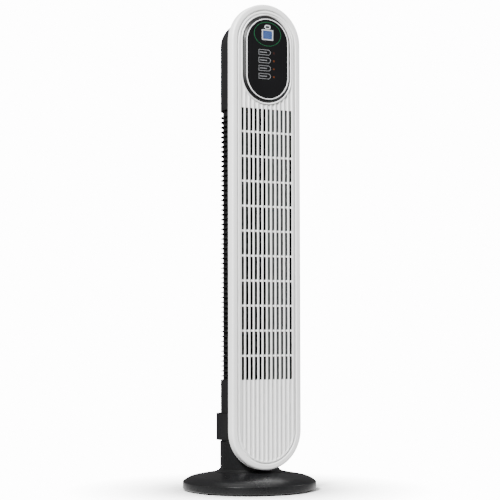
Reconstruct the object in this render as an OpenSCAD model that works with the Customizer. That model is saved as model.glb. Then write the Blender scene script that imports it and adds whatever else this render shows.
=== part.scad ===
// Tower fan: a round base with a short neck, and a tall swinging tower with a cross-flow rotor.
// Millimetres. The origin is on the floor, on the swing axis; +Z is up and the front faces -Y.

/* [Base] */
// Diameter of the base disc
base_d = 300; // [270:1:360]
// Height of the upright wall around the base disc
base_rim_h = 16.6; // [12:0.2:24]
// Width of the rounded shoulder between the rim and the dome
shoulder_w = 26; // [12:1:30]
// Slope of the shoulder where it meets the rim, in degrees
shoulder_slope = 42; // [24:1:45]
// Slope of the dome, in degrees
dome_slope = 10.35; // [9:0.05:18]
// Wall of the base cover
base_wall = 2.6; // [2:0.1:3.5]
// Thickness of the steel plate under the base
ballast_t = 3; // [2:0.5:5]
// Number of rubber feet
foot_n = 10; // [4:1:12]
// Diameter of a rubber foot
foot_d = 14; // [10:1:20]
// Height of a rubber foot
foot_h = 3; // [2:0.5:5]

/* [Neck] */
// Diameter of the neck
neck_d = 132; // [124:1:138]
// Height of the neck above the crown of the dome
neck_h = 67.6; // [60:0.2:90]
// Wall of the neck
neck_wall = 3; // [2.4:0.2:4]
// Width of the ring that covers the foot of the neck
ring_w = 10; // [7:0.5:14]
// Height of the flared part of that ring
ring_flare_h = 7.3; // [5:0.1:7.8]

/* [Front panel] */
// Width of the front panel
panel_w = 174; // [166:1:200]
// Height of the front panel
panel_h = 1037.5; // [900:0.5:1250]
// Gap between the front panel and the crown of the dome
panel_gap = 8.3; // [8.2:0.1:20]
// Distance from the swing axis to the panel's front face
panel_front = 84; // [82:0.5:92]
// Depth of the panel from front face to back edge
panel_depth = 21; // [19:0.5:24]
// Radius of the panel's front edge
panel_edge_r = 5; // [3:0.5:7]
// Wall of the panel
panel_wall = 2.5; // [2:0.1:3]
// Width of the panel's face, from its edge to the border groove
face_w = 13.5; // [11:0.5:15]
// Width of the border groove around the grille
groove_w = 2.7; // [1.5:0.1:3.5]

/* [Front grille] */
// Number of slot columns
slot_cols = 12; // [6:2:14]
// Distance between slot columns
slot_pitch = 11.05; // [9:0.05:11.2]
// Width of a slot
slot_w = 6.9; // [3:0.1:7.5]
// Number of slot rows
slot_rows = 11; // [5:1:14]
// Distance between slot rows
row_pitch = 55.14; // [40:0.02:60]
// Height of a crossbar between slot rows
crossbar_h = 4; // [2.5:0.1:6]
// Height of the first slot above the panel's lower end
slot_start = 197.2; // [190:0.1:230]
// How far the ribs stand in front of the closed grooves
rib_h = 1.5; // [1:0.1:1.8]

/* [Rear housing] */
// Width of the rear housing
body_w = 116; // [112:1:120]
// Distance from the swing axis to the centre of the rounded back and of the rotor
back_offset = 14.5; // [10:0.5:18]
// Wall of the rear housing
body_wall = 2.2; // [1.8:0.1:3]
// Height of the lower shell above the collar
lower_shell_h = 74.5; // [70:0.5:90]
// Number of intake fins
fin_n = 54; // [30:1:60]
// Distance between intake fins
fin_pitch = 11.1; // [8:0.05:12]
// Thickness of a fin
fin_t = 1.4; // [1:0.1:2]
// How far a fin stands out of the screen behind it
fin_depth = 5.4; // [3:0.1:6]
// Height of the centre of the rounded top above the centre of the panel's top arc
cap_rise = 6; // [0:0.5:12]

/* [Collar] */
// Width of the collar
collar_w = 118; // [114:1:120]
// Height of the collar
collar_h = 60.6; // [56:0.2:70]
// Radius of the collar's two rear corners
collar_corner_r = 32; // [20:1:50]
// Gap at the swing seam between neck and collar
seam_gap = 1.5; // [1:0.1:2.5]

/* [Rotor] */
// Diameter of the cross-flow rotor
rotor_d = 88; // [76:1:90]
// Number of rotor blades
blade_n = 36; // [20:1:40]
// Number of rotor segments
segment_n = 8; // [4:1:10]
// Radius of the motor shaft
shaft_r = 4; // [3:0.5:5]
// Radius of the fan motor
motor_r = 41; // [34:1:44]

/* [Swing drive] */
// Module of the swing gears
gear_m = 1.25; // [1.25:0.05:1.3]
// Teeth of the fixed gear
gear_teeth = 32; // [32:4:36]
// Teeth of the pinion
pinion_teeth = 16; // [16:2:18]
// Diameter of a bearing ball
ball_d = 6; // [5:0.5:6]
// Number of bearing balls
ball_n = 16; // [8:1:20]
// Radius of the ring of balls
ball_ring_r = 51; // [50:0.5:52]
// Radius of the pivot tube
pivot_r = 13; // [11:0.5:14]

/* [Control pod] */
// Width of the black bezel at its foot
pod_w = 120; // [110:1:122]
// Distance between the centres of the pod's two round ends
pod_drop = 75; // [72:1:90]
// How far the bezel stands out
pod_rise = 3.8; // [2:0.2:6]
// Width of the sloping side of the bezel
bezel_w = 6.5; // [3:0.1:8]
// Width of the bright trim ring
trim_w = 2.1; // [1.5:0.1:4]
// Width of a key
key_w = 31.2; // [24:0.2:34]
// Height of a key
key_h = 13; // [9:0.2:14]
// Distance between keys
key_pitch = 17.9; // [15:0.1:18.4]
// Travel of a key
key_travel = 0.8; // [0.4:0.1:1.2]
// Width of the display's frame
display_w = 28.8; // [20:0.2:34]
// Height of the display's frame
display_h = 24; // [18:0.2:26]

/* [Hidden] */
$fn = 96;

// Clearances
run_gap = 0.05;    // radial gap of a running fit
part_gap = 0.3;    // gap between parts that don't touch
swing_gap = 1.5;   // gap between the swinging panel and the neck
over = 1;          // how far a cut runs past the face it opens

// Base
base_r = base_d / 2;
bevel = 1.6;
rim_top_z = foot_h + base_rim_h;
shoulder_r = shoulder_w / (sin(shoulder_slope) - sin(dome_slope));
shoulder_rise = shoulder_r * (cos(dome_slope) - cos(shoulder_slope));
shoulder_steps = 8;
neck_r = neck_d / 2;
ring_r = neck_r + ring_w;
function dome_z(r) = rim_top_z + shoulder_rise + (base_r - shoulder_w - r) * tan(dome_slope);
crown_z = dome_z(ring_r);
socket_r = neck_r + 4;
seat_t = 3;
seat_z = crown_z - 9;
base_hole_r = 46;
plate_hole_r = 62;
foot_ring_r = base_r - base_wall - 2 - foot_d / 2;
base_screw_r = 2;
base_screw_n = 6;
base_screw_ring_r = base_r - 25;
boss_r = 5;

// Neck and swing bearing
neck_top_z = crown_z + neck_h;
neck_top_t = 3.2;
neck_foot_t = 5;
neck_screw_r = 2.5;
neck_screw_n = 4;
neck_screw_ring_r = neck_r - 10;
gear_hub_r = pivot_r + 3.4;
race_w = 10;
race_h = 2.2;
ball_z = neck_top_z + 4;
groove_gap = 0.1;
turntable_z = ball_z + (ball_z - neck_top_z);
turntable_t = 3;
turntable_top_z = turntable_z + turntable_t;
nut_h = 6;
washer_t = 2;
pivot_low_z = neck_top_z - neck_top_t - part_gap - washer_t - nut_h - 4;

// Swing drive
gear_h = 5.5;
pressure_angle = 20;
backlash = 0.24;
gear_centres = gear_m * (gear_teeth + pinion_teeth) / 2;
pinion_shaft_r = 2.5;
swing_motor_r = 17;
swing_motor_h = 16;

// Tower heights and depths
panel_z = crown_z + panel_gap;
panel_r = panel_w / 2;
top_c = panel_z + panel_h - panel_r;
low_c = panel_z + panel_r;
panel_back = panel_front - panel_depth;
collar_z = neck_top_z + seam_gap;
collar_top_z = collar_z + collar_h;
shell_z = collar_top_z + 1;
fins_z = shell_z + lower_shell_h;
fins_top_z = fins_z + (fin_n + 1) * fin_pitch;
first_fin = 0.8;  // place of the first fin, in pitches above the lower shell
cap_c = top_c + cap_rise;
body_r = body_w / 2;
rear_y = back_offset + body_r;
collar_wall = 2.4;

// Front grille
open_r = panel_r - face_w;
grille_r = open_r - groove_w;
ledge_r = open_r - 7;
ledge_t = 2;
grille_t = 2.8;
grille_back = panel_front - grille_t;
grille_floor = panel_front - rib_h;
rib_w = slot_pitch - slot_w;
rib_edge = 0.7;
slot_z = panel_z + slot_start;
slot_top_z = slot_z + slot_rows * row_pitch;
border_w = 3.6;
carrier_t = 2;
carrier_gap = 0.3;

// Fan motor
bracket_z = shell_z + 2;
bracket_t = 2.4;
damper_h = 6;
motor_z = bracket_z + bracket_t + damper_h;
bell_h = 10;
stator_h = 24;
stator_z = motor_z + bell_h;
motor_top_z = stator_z + stator_h + bell_h;
stator_in_r = 24;
air_gap = 0.6;
bush_h = 6;
bush_r = 8;

// Duct and rotor
rotor_r = rotor_d / 2;
duct_wall = 1.8;
duct_plate_t = 2.5;
duct_z = fins_z;
duct_top_z = fins_top_z;
rotor_z = duct_z + 4;
rotor_top_z = duct_top_z - 7;
hub_r = 12;
hub_h = 15;
cap_t = 3;
blade_in_r = rotor_r - 9;
blade_t = 1.2;
axle_r = 3;
cup_r = 14;
cup_h = 14;
screen_out_r = body_r - fin_depth;
screen_in_r = screen_out_r - 2;
duct_x = screen_in_r - part_gap - duct_wall;
carrier_open = duct_x + duct_wall + 3;

// Control pod
pod_top_c = top_c;
pod_low_c = top_c - pod_drop;
pod_r = pod_w / 2;
pod_face = panel_front + pod_rise;
surround_w = 3.9;
surround_r = pod_r + part_gap + surround_w;
shadow_gap = 1.4;
pod_open_r = surround_r + shadow_gap;
trim_r = pod_r - bezel_w;
lens_r = trim_r - trim_w - 0.1;
lens_t = 2.5;
lens_back = pod_face - lens_t;
key_x = -7.9;
key_first = 22.9;
key_gap = 0.35;
key_proud = 0.9;
lip_w = 1.2;
display_up = 16.9;
display_rim = 2.6;
ring_light_a = 34.4;
ring_light_b = 27.2;
ring_light_up = 18.7;
ring_light_w = 0.9;
receiver_up = 34.7;
icon_x = 16;
icon_r = 2.8;
board_d = panel_front - 10;
board_t = 1.6;
switch_h = 4;
housing_screw_r = 1.8;
housing_screw_head_r = 3.6;

// ---- shared shapes ----

// Outline with straight sides and two round ends, drawn across and up
module stadium(r, top, low) {
  translate([0, top]) circle(r);
  translate([0, low]) circle(r);
  translate([-r, low]) square([2 * r, top - low]);
}

// Upright plate of that outline between two distances in front of the swing axis
module front_plate(r, top, low, from, to) {
  rotate([90, 0, 0]) translate([0, 0, from]) linear_extrude(to - from) stadium(r, top, low);
}

// Ring of that outline; its section is drawn as radius and distance in front of the axis
module front_ring(top, low) {
  translate([0, 0, top]) rotate([90, 0, 0]) rotate_extrude(angle = 180) children();
  translate([0, 0, low]) rotate([90, 180, 0]) rotate_extrude(angle = 180) children();
  for (side = [0, 1])
    mirror([side, 0, 0]) translate([0, 0, low]) mirror([0, 1, 0])
      linear_extrude(top - low) children();
}

// Plan of the rear housing: flat sides and a half-round back
module housing_plan(r) {
  translate([0, back_offset]) circle(r);
  translate([-r, -panel_back]) square([2 * r, panel_back + back_offset]);
}

// Plan of the collar: flat sides and two rear corners, drawn in by an inset
module collar_plan(inset) {
  half = collar_w / 2 - inset;
  back = rear_y - inset;
  corner = collar_corner_r - inset;
  for (side = [-1, 1]) translate([side * (half - corner), back - corner]) circle(corner);
  translate([-half, -panel_back]) square([2 * half, panel_back + back - corner]);
  translate([corner - half, back - corner - over]) square([2 * (half - corner), corner + over]);
}

// Screw that points along +Z, with its head below
module screw(r, length, head_r, head_h) {
  cylinder(r = r, h = length);
  difference() {
    translate([0, 0, -head_h]) cylinder(r = head_r, h = head_h);
    for (turn = [0, 90])
      rotate(turn) translate([-head_r / 2, -0.4, -head_h - over]) cube([head_r, 0.8, over + 0.9]);
  }
}

// Points of an involute at a roll angle in degrees
function involute(base, roll) =
  [base * (cos(roll) + roll * PI / 180 * sin(roll)), base * (sin(roll) - roll * PI / 180 * cos(roll))];
function turned(p, a) = [p[0] * cos(a) - p[1] * sin(a), p[0] * sin(a) + p[1] * cos(a)];
function flipped(p) = [p[0], -p[1]];

// Outline of a spur gear with involute flanks
module gear_outline(teeth) {
  pitch_r = gear_m * teeth / 2;
  base = pitch_r * cos(pressure_angle);
  tip = pitch_r + gear_m;
  root = pitch_r - 1.25 * gear_m;
  half = 90 / teeth - backlash / 2 / pitch_r * 180 / PI
    + tan(pressure_angle) * 180 / PI - pressure_angle;
  last = sqrt(pow(tip / base, 2) - 1) * 180 / PI;
  flank = [for (i = [0 : 4]) turned(involute(base, last * i / 4), -half)];
  side = concat([turned([root, 0], -half)], flank);
  tooth = concat(side, [for (i = [len(side) - 1 : -1 : 0]) flipped(side[i])]);
  polygon([for (k = [0 : teeth - 1]) for (p = tooth) turned(p, k * 360 / teeth)]);
}

// ---- base ----

function shoulder_point(i, inset) =
  let (a = shoulder_slope + (dome_slope - shoulder_slope) * i / shoulder_steps,
       x = base_r - (shoulder_r * (sin(shoulder_slope) - sin(a))),
       z = rim_top_z + shoulder_r * (cos(a) - cos(shoulder_slope)))
  [x - inset * sin(a), z - inset * cos(a)];

module base_cover() color("#1c1d1f") {
  drop = base_wall / cos(dome_slope);
  difference() {
    union() {
      rotate_extrude() polygon(concat(
        [[base_r - bevel, foot_h], [base_r, foot_h + bevel]],
        [for (i = [0 : shoulder_steps]) shoulder_point(i, 0)],
        [[socket_r, dome_z(socket_r)], [socket_r, seat_z], [base_hole_r, seat_z],
         [base_hole_r, seat_z - seat_t], [socket_r + base_wall, seat_z - seat_t],
         [socket_r + base_wall, dome_z(socket_r + base_wall) - drop]],
        [for (i = [shoulder_steps : -1 : 1]) shoulder_point(i, base_wall)],
        [[base_r - base_wall, shoulder_point(1, base_wall)[1] - 1], [base_r - base_wall, foot_h]]));
      for (i = [0 : base_screw_n - 1])
        rotate((i + 0.5) * 360 / base_screw_n) translate([base_screw_ring_r, 0, foot_h + ballast_t])
          cylinder(r = boss_r, h = dome_z(base_screw_ring_r - boss_r) - foot_h - ballast_t - drop);
    }
    for (i = [0 : base_screw_n - 1])
      rotate((i + 0.5) * 360 / base_screw_n) translate([base_screw_ring_r, 0, foot_h])
        cylinder(r = base_screw_r, h = ballast_t + 12);
    for (i = [0 : neck_screw_n - 1])
      rotate((i + 0.5) * 360 / neck_screw_n) translate([neck_screw_ring_r, 0, seat_z - seat_t - over])
        cylinder(r = neck_screw_r + part_gap, h = seat_t + 2 * over);
  }
}

module base_plate() color("#3a3c3f") difference() {
  translate([0, 0, foot_h]) cylinder(r = base_r - base_wall - part_gap, h = ballast_t);
  translate([0, 0, foot_h - over]) cylinder(r = plate_hole_r, h = ballast_t + 2 * over);
  for (i = [0 : base_screw_n - 1])
    rotate((i + 0.5) * 360 / base_screw_n) translate([base_screw_ring_r, 0, foot_h - over])
      cylinder(r = base_screw_r + part_gap, h = ballast_t + 2 * over);
}

module base_feet() color("#101010")
  for (i = [0 : foot_n - 1])
    rotate(-90 + i * 360 / foot_n) translate([foot_ring_r, 0, 0])
      cylinder(r1 = foot_d / 2 - 0.6, r2 = foot_d / 2, h = foot_h);

module base_screws() color("#8a8d90")
  for (i = [0 : base_screw_n - 1])
    rotate((i + 0.5) * 360 / base_screw_n) translate([base_screw_ring_r, 0, foot_h])
      screw(base_screw_r - run_gap, ballast_t + 10, 3.8, 2);

module neck() color("#191a1c") difference() {
  rotate_extrude() polygon([
    [neck_r - 14, seat_z], [neck_r, seat_z], [neck_r, neck_top_z - 0.8], [neck_r - 0.8, neck_top_z],
    [gear_hub_r + run_gap, neck_top_z], [gear_hub_r + run_gap, neck_top_z - neck_top_t],
    [neck_r - neck_wall, neck_top_z - neck_top_t], [neck_r - neck_wall, seat_z + neck_foot_t],
    [neck_r - 14, seat_z + neck_foot_t]]);
  for (i = [0 : neck_screw_n - 1])
    rotate((i + 0.5) * 360 / neck_screw_n) translate([neck_screw_ring_r, 0, seat_z - over])
      cylinder(r = neck_screw_r, h = neck_foot_t + 2 * over);
}

module neck_ring() color("#1b1c1e") {
  lip = 1.4;
  mid_r = neck_r + ring_w / 2;
  rotate_extrude() polygon([
    [neck_r + run_gap, crown_z + ring_flare_h], [neck_r + 0.8, crown_z + ring_flare_h],
    [mid_r, crown_z + lip + 0.6], [ring_r - 0.6, crown_z + lip], [ring_r, crown_z + lip - 0.6],
    [ring_r, crown_z + 0.02], [socket_r - 0.2, dome_z(socket_r - 0.2) + 0.02],
    [socket_r - 0.2, seat_z + 2], [neck_r + run_gap, seat_z + 2]]);
  rotate(-30) translate([ring_r - 2, -5, crown_z + 0.1]) cube([7, 10, lip - 0.3]);
}

module neck_screws() color("#8a8d90")
  for (i = [0 : neck_screw_n - 1])
    rotate((i + 0.5) * 360 / neck_screw_n) translate([neck_screw_ring_r, 0, seat_z - seat_t])
      screw(neck_screw_r - run_gap, seat_t + neck_foot_t, 5, 3);

// ---- swing bearing and drive ----

module swing_gear() color("#d8d4c4") difference() {
  union() {
    translate([0, 0, neck_top_z]) linear_extrude(gear_h) gear_outline(gear_teeth);
    translate([0, 0, neck_top_z - neck_top_t]) cylinder(r = gear_hub_r, h = neck_top_t + 1);
  }
  translate([0, 0, neck_top_z - neck_top_t - over])
    cylinder(r = pivot_r + run_gap, h = neck_top_t + gear_h + 2 * over);
}

module race(z, h) difference() {
  translate([0, 0, z]) cylinder(r = ball_ring_r + race_w / 2, h = h);
  translate([0, 0, z - over]) cylinder(r = ball_ring_r - race_w / 2, h = h + 2 * over);
  rotate_extrude() translate([ball_ring_r, ball_z]) circle(ball_d / 2 + groove_gap);
}

module race_lower() color("#9fa2a5") race(neck_top_z, race_h);

module race_upper() color("#9fa2a5") race(turntable_z - race_h, race_h);

module bearing_cage() color("#d8d4c4") difference() {
  translate([0, 0, ball_z - 0.7]) cylinder(r = ball_ring_r + 3.9, h = 1.4);
  translate([0, 0, ball_z - over]) cylinder(r = ball_ring_r - 3.9, h = 2 * over);
  for (i = [0 : ball_n - 1])
    rotate(i * 360 / ball_n) translate([ball_ring_r, 0, ball_z - over])
      cylinder(r = ball_d / 2 + groove_gap, h = 2 * over);
}

module bearing_balls() color("#b8bbbe")
  for (i = [0 : ball_n - 1])
    rotate(i * 360 / ball_n) translate([ball_ring_r, 0, ball_z]) sphere(ball_d / 2);

module turntable() color("#2a2b2d") difference() {
  union() {
    translate([0, 0, turntable_z]) linear_extrude(turntable_t) collar_plan(collar_wall + 0.2);
    translate([0, 0, pivot_low_z]) cylinder(r = pivot_r, h = turntable_top_z - pivot_low_z);
  }
  translate([0, 0, pivot_low_z - over])
    cylinder(r = pivot_r - 3, h = turntable_top_z - pivot_low_z + 2 * over);
  translate([0, gear_centres, turntable_z - over])
    cylinder(r = pinion_shaft_r + 2, h = turntable_t + 2 * over);
}

module pivot_washer() color("#9fa2a5")
  translate([0, 0, neck_top_z - neck_top_t - part_gap - washer_t]) difference() {
    cylinder(r = pivot_r + 9, h = washer_t);
    translate([0, 0, -over]) cylinder(r = pivot_r + run_gap, h = washer_t + 2 * over);
  }

module pivot_nut() color("#8a8d90")
  translate([0, 0, neck_top_z - neck_top_t - part_gap - washer_t - nut_h]) difference() {
    cylinder(r = pivot_r + 7, h = nut_h, $fn = 6);
    translate([0, 0, -over]) cylinder(r = pivot_r + run_gap, h = nut_h + 2 * over);
  }

module swing_motor() color("#a7aaad")
  translate([0, gear_centres, turntable_top_z]) difference() {
    union() {
      cylinder(r = swing_motor_r, h = swing_motor_h);
      translate([-swing_motor_r - 6, -4, 0]) cube([2 * swing_motor_r + 12, 8, 1.6]);
    }
    translate([0, 0, -over]) cylinder(r = pinion_shaft_r + run_gap, h = 10 + over);
  }

module swing_pinion() color("#e2dfd2")
  translate([0, gear_centres, neck_top_z + 0.6]) {
    linear_extrude(gear_h - 0.6) rotate(180 / pinion_teeth) gear_outline(pinion_teeth);
    cylinder(r = pinion_shaft_r, h = turntable_top_z - neck_top_z + 8);
  }

// ---- collar ----

gland_z = collar_z + 18.5;
gland_r = 6;
collar_screw_x = 18;
collar_screw_z = collar_top_z - 14;

// Screw boss inside a rear wall, its screw hole, and the seat for the screw's head
module rear_boss(x, z, wall) translate([x, rear_y - wall / 2, z]) rotate([90, 0, 0])
  cylinder(r = boss_r, h = 12);
module rear_hole(x, z) translate([x, rear_y, z]) rotate([90, 0, 0]) {
  translate([0, 0, -over]) cylinder(r = housing_screw_head_r + 0.4, h = over + 1.2);
  cylinder(r = housing_screw_r, h = 11);
}

module collar() color("#232426") difference() {
  union() {
    translate([0, 0, collar_z]) linear_extrude(collar_h) difference() {
      collar_plan(0);
      collar_plan(collar_wall);
    }
    translate([0, 0, collar_z]) linear_extrude(collar_wall) difference() {
      collar_plan(0.5);
      circle(ball_ring_r + race_w / 2 + 1.5);
    }
    for (x = [-collar_screw_x, collar_screw_x]) rear_boss(x, collar_screw_z, collar_wall);
  }
  for (x = [-collar_screw_x, collar_screw_x]) rear_hole(x, collar_screw_z);
  translate([0, rear_y - 5, gland_z]) rotate([-90, 0, 0]) cylinder(r = gland_r, h = 5 + over);
}

module cord_gland() color("#121212")
  translate([0, rear_y - collar_wall, gland_z]) rotate([-90, 0, 0]) difference() {
    union() {
      cylinder(r = gland_r - run_gap, h = collar_wall + 1);
      translate([0, 0, collar_wall]) cylinder(r = gland_r + 2.5, h = 2);
      translate([0, 0, -2]) cylinder(r = gland_r + 2, h = 2);
    }
    translate([0, 0, -2 - over]) cylinder(r = 3.6, h = collar_wall + 6);
  }

module driver_board() color("#1f5a3a") {
  depth = panel_back - 14;
  translate([-42, -depth, turntable_top_z]) cube([84, board_t, 44]);
  translate([10, -depth + board_t, turntable_top_z + 12]) cube([22, 14, 20]);
  translate([-30, -depth + board_t, turntable_top_z + 20]) cube([26, 10, 8]);
}

module run_capacitor() color("#d9d9d4")
  translate([-40, -24, turntable_top_z]) cube([26, 16, 30]);

// ---- lower shell and fan motor ----

lower_screw_z = shell_z + lower_shell_h / 2;

module lower_shell() color("#232426") difference() {
  union() {
    translate([0, 0, shell_z]) linear_extrude(lower_shell_h) difference() {
      housing_plan(body_r);
      housing_plan(body_r - body_wall);
    }
    rear_boss(0, lower_screw_z, body_wall);
  }
  rear_hole(0, lower_screw_z);
}

module motor_axis(z) translate([0, back_offset, z]) children();

damper_ring_r = motor_r - 8;

module motor_bracket() color("#8f9294") difference() {
  translate([0, 0, bracket_z]) linear_extrude(bracket_t) difference() {
    housing_plan(body_r - body_wall - 0.2);
    translate([0, back_offset]) circle(14);
  }
  motor_axis(bracket_z - over) for (i = [0 : 2])
    rotate(30 + i * 120) translate([damper_ring_r, 0, 0]) cylinder(r = 2.2, h = bracket_t + 2 * over);
}

module motor_dampers() color("#151515")
  motor_axis(bracket_z + bracket_t) for (i = [0 : 2])
    rotate(30 + i * 120) translate([damper_ring_r, 0, 0]) difference() {
      cylinder(r = 6.5, h = damper_h);
      translate([0, 0, -over]) cylinder(r = 2.2, h = damper_h + 2 * over);
    }

// Cup with a bush seat in the middle, open towards +Z
module bell() rotate_extrude() polygon([
  [bush_r, 0], [motor_r, 0], [motor_r, bell_h], [motor_r - 2.4, bell_h], [motor_r - 2.4, 2.4],
  [bush_r + 3, 2.4], [bush_r + 3, bush_h + 1], [bush_r, bush_h + 1]]);

module motor_lower_bell() color("#a9acae") motor_axis(motor_z) bell();

module motor_upper_bell() color("#a9acae") motor_axis(motor_top_z) mirror([0, 0, 1]) bell();

module motor_stator() color("#6f6a64") motor_axis(stator_z) difference() {
  cylinder(r = motor_r, h = stator_h);
  translate([0, 0, -over]) cylinder(r = stator_in_r, h = stator_h + 2 * over);
}

module motor_bushes() color("#b08d57")
  for (z = [motor_z + 0.5, motor_top_z - 0.5 - bush_h]) motor_axis(z) difference() {
    cylinder(r = bush_r, h = bush_h);
    translate([0, 0, -over]) cylinder(r = shaft_r + run_gap, h = bush_h + 2 * over);
  }

module motor_rotor() color("#57595c") motor_axis(stator_z + 1) difference() {
  cylinder(r = stator_in_r - air_gap, h = stator_h - 2);
  translate([0, 0, -over]) cylinder(r = shaft_r, h = stator_h + 2 * over);
}

module motor_shaft() color("#c9ccce")
  motor_axis(motor_z + 1) cylinder(r = shaft_r, h = rotor_z + hub_h - motor_z - 1);

// ---- duct ----

module duct_floor() color("#232426") difference() {
  translate([0, 0, duct_z - duct_plate_t - 0.5]) linear_extrude(duct_plate_t) difference() {
    housing_plan(body_r - body_wall - 0.2);
    translate([0, back_offset]) circle(shaft_r + 4);
  }
}

module duct_ceiling() color("#232426") {
  translate([0, 0, duct_top_z + 0.5]) linear_extrude(duct_plate_t) difference() {
    housing_plan(body_r - body_wall - 0.2);
    translate([0, back_offset]) circle(cup_r - 2);
  }
  motor_axis(duct_top_z + 0.5) difference() {
    cylinder(r = cup_r, h = cup_h);
    translate([0, 0, -over]) cylinder(r = cup_r - 2, h = cup_h + 2 * over);
  }
}

// Spiral wall: radius grows from the back of the rotor towards the side
function spiral(a, inset) =
  let (r = rotor_r + 1.8 + (duct_x - rotor_r - 1.8) * (1 - a / 80) + inset)
  [r * cos(a), back_offset + r * sin(a)];

guard_gap = 2.2;   // gap between the grille's back and the duct's front plate
guard_d = grille_back - guard_gap;
turn_r = duct_x - 4;

// Scroll wall: down the spiral, along the side, and round the corner to the front
function scroll_side(inset) = concat(
  [for (a = [80 : -8 : 0]) spiral(a, inset)],
  [for (a = [0 : 9 : 90]) [duct_x - turn_r + (turn_r + inset) * cos(a),
    turn_r + duct_wall - guard_d - (turn_r + inset) * sin(a)]]);
function backwards(list) = [for (i = [len(list) - 1 : -1 : 0]) list[i]];

module duct_scroll() color("#7b7d80")
  translate([0, 0, duct_z]) linear_extrude(duct_top_z - duct_z) {
    polygon(concat(scroll_side(0), backwards(scroll_side(duct_wall))));
    translate([duct_x - turn_r - over, -guard_d]) square([ledge_r - 5 - duct_x + turn_r, duct_wall]);
  }

module duct_tongue() color("#2a2b2d")
  translate([0, 0, duct_z]) linear_extrude(duct_top_z - duct_z)
    polygon([
      [-duct_x, -24], [-36, -22], [-35, -23.4], [-36, -24.6], [-duct_x, -27],
      [-duct_x, -panel_back - 1], [-ledge_r + 4, -guard_d], [-ledge_r + 1.8, -guard_d],
      [-duct_x - duct_wall, -panel_back - 0.5], [-duct_x - duct_wall, -24]]);

// ---- rotor ----

segment_h = (rotor_top_z - rotor_z - 2 * cap_t) / segment_n;

// Plan of one curved blade
module blade_plan() {
  lean = 22;
  polygon(concat(
    [for (i = [0 : 4]) let (s = i / 4) turned([blade_in_r + s * 8.4, 0], -lean * s * s / 2)],
    [for (i = [4 : -1 : 0]) let (s = i / 4)
      turned([blade_in_r + s * 8.4 + 0.2, blade_t], -lean * s * s / 2)]));
}

module impeller() color("#1d1e20") motor_axis(0) {
  difference() {
    union() {
      translate([0, 0, rotor_z]) cylinder(r = rotor_r, h = cap_t);
      translate([0, 0, rotor_z - 2]) cylinder(r = hub_r, h = hub_h + 2);
    }
    translate([0, 0, rotor_z - 2 - over]) cylinder(r = shaft_r, h = hub_h + 4 * over);
  }
  for (k = [1 : segment_n - 1])
    translate([0, 0, rotor_z + cap_t + k * segment_h - 0.8]) difference() {
      cylinder(r = rotor_r, h = 1.6);
      translate([0, 0, -over]) cylinder(r = blade_in_r - 1, h = 1.6 + 2 * over);
    }
  for (i = [0 : blade_n - 1])
    rotate(i * 360 / blade_n) translate([0, 0, rotor_z + cap_t - 0.5])
      linear_extrude(rotor_top_z - rotor_z - 2 * cap_t + 1) blade_plan();
  difference() {
    translate([0, 0, rotor_top_z - cap_t]) cylinder(r = rotor_r, h = cap_t);
    translate([0, 0, rotor_top_z - cap_t - over]) cylinder(r = axle_r, h = cap_t + 2 * over);
  }
}

module impeller_axle() color("#c9ccce")
  motor_axis(rotor_top_z - cap_t) cylinder(r = axle_r, h = duct_top_z + cup_h - 2 - rotor_top_z + cap_t);

module bearing_rubber() color("#151515") motor_axis(duct_top_z + 1.5) difference() {
  cylinder(r = cup_r - 2, h = cup_h - 3);
  translate([0, 0, -over]) cylinder(r = axle_r + 4, h = cup_h);
}

module top_bearing() color("#b08d57") motor_axis(duct_top_z + 1.5) difference() {
  cylinder(r = axle_r + 4, h = cup_h - 3);
  translate([0, 0, -over]) cylinder(r = axle_r + run_gap, h = cup_h);
}

// ---- rear housing ----

spine_n = 5;

// Plan of a ring that follows the housing from one front edge round to the other
module housing_ring(outer, inner) difference() {
  housing_plan(outer);
  housing_plan(inner);
}

module intake_grille() color("#1d1e20") {
  for (k = [0 : fin_n - 1])
    translate([0, 0, fins_z + (k + first_fin) * fin_pitch - fin_t / 2])
      linear_extrude(fin_t) housing_ring(body_r, screen_out_r);
  for (i = [0 : spine_n - 1])
    translate([0, back_offset, fins_z]) rotate(180 * i / (spine_n - 1))
      translate([screen_out_r, -1, 0]) cube([2.4, 2, fins_top_z - fins_z]);
  for (side = [-1, 1])
    translate([side * (screen_out_r + 1.2) - 1.2, -panel_back, fins_z])
      cube([2.4, 4, fins_top_z - fins_z]);
}

bar_n = 17;
bar_w = 1.8;
side_bar_n = 8;

module intake_screen() color("#141516") {
  for (i = [0 : bar_n - 1])
    translate([0, back_offset, fins_z]) rotate(180 * i / (bar_n - 1))
      translate([screen_in_r + 0.1, -bar_w / 2, 0])
        cube([screen_out_r - screen_in_r - 0.2, bar_w, fins_top_z - fins_z]);
  for (side = [0, 1], k = [1 : side_bar_n - 1])
    mirror([side, 0, 0]) translate([screen_in_r + 0.1,
        back_offset - k * (panel_back + back_offset) / side_bar_n - bar_w / 2, fins_z])
      cube([screen_out_r - screen_in_r - 0.2, bar_w, fins_top_z - fins_z]);
  for (k = [0 : 5])
    translate([0, 0, fins_z + k * (fins_top_z - fins_z - 4) / 5])
      linear_extrude(4) housing_ring(screen_out_r, screen_in_r);
}

cap_screw_z = fins_top_z + 30;

// Solid of the rounded top: flat sides and half-round back below, a dome on top
module cap_solid(r) {
  translate([0, 0, fins_top_z]) linear_extrude(cap_c - fins_top_z) housing_plan(r);
  translate([0, back_offset, cap_c]) rotate([90, 0, 0])
    linear_extrude(panel_back + back_offset) intersection() {
      circle(r);
      translate([-r, 0]) square([2 * r, r]);
    }
  translate([0, back_offset, cap_c]) rotate_extrude(angle = 180) intersection() {
    circle(r);
    square(r);
  }
}

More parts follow.
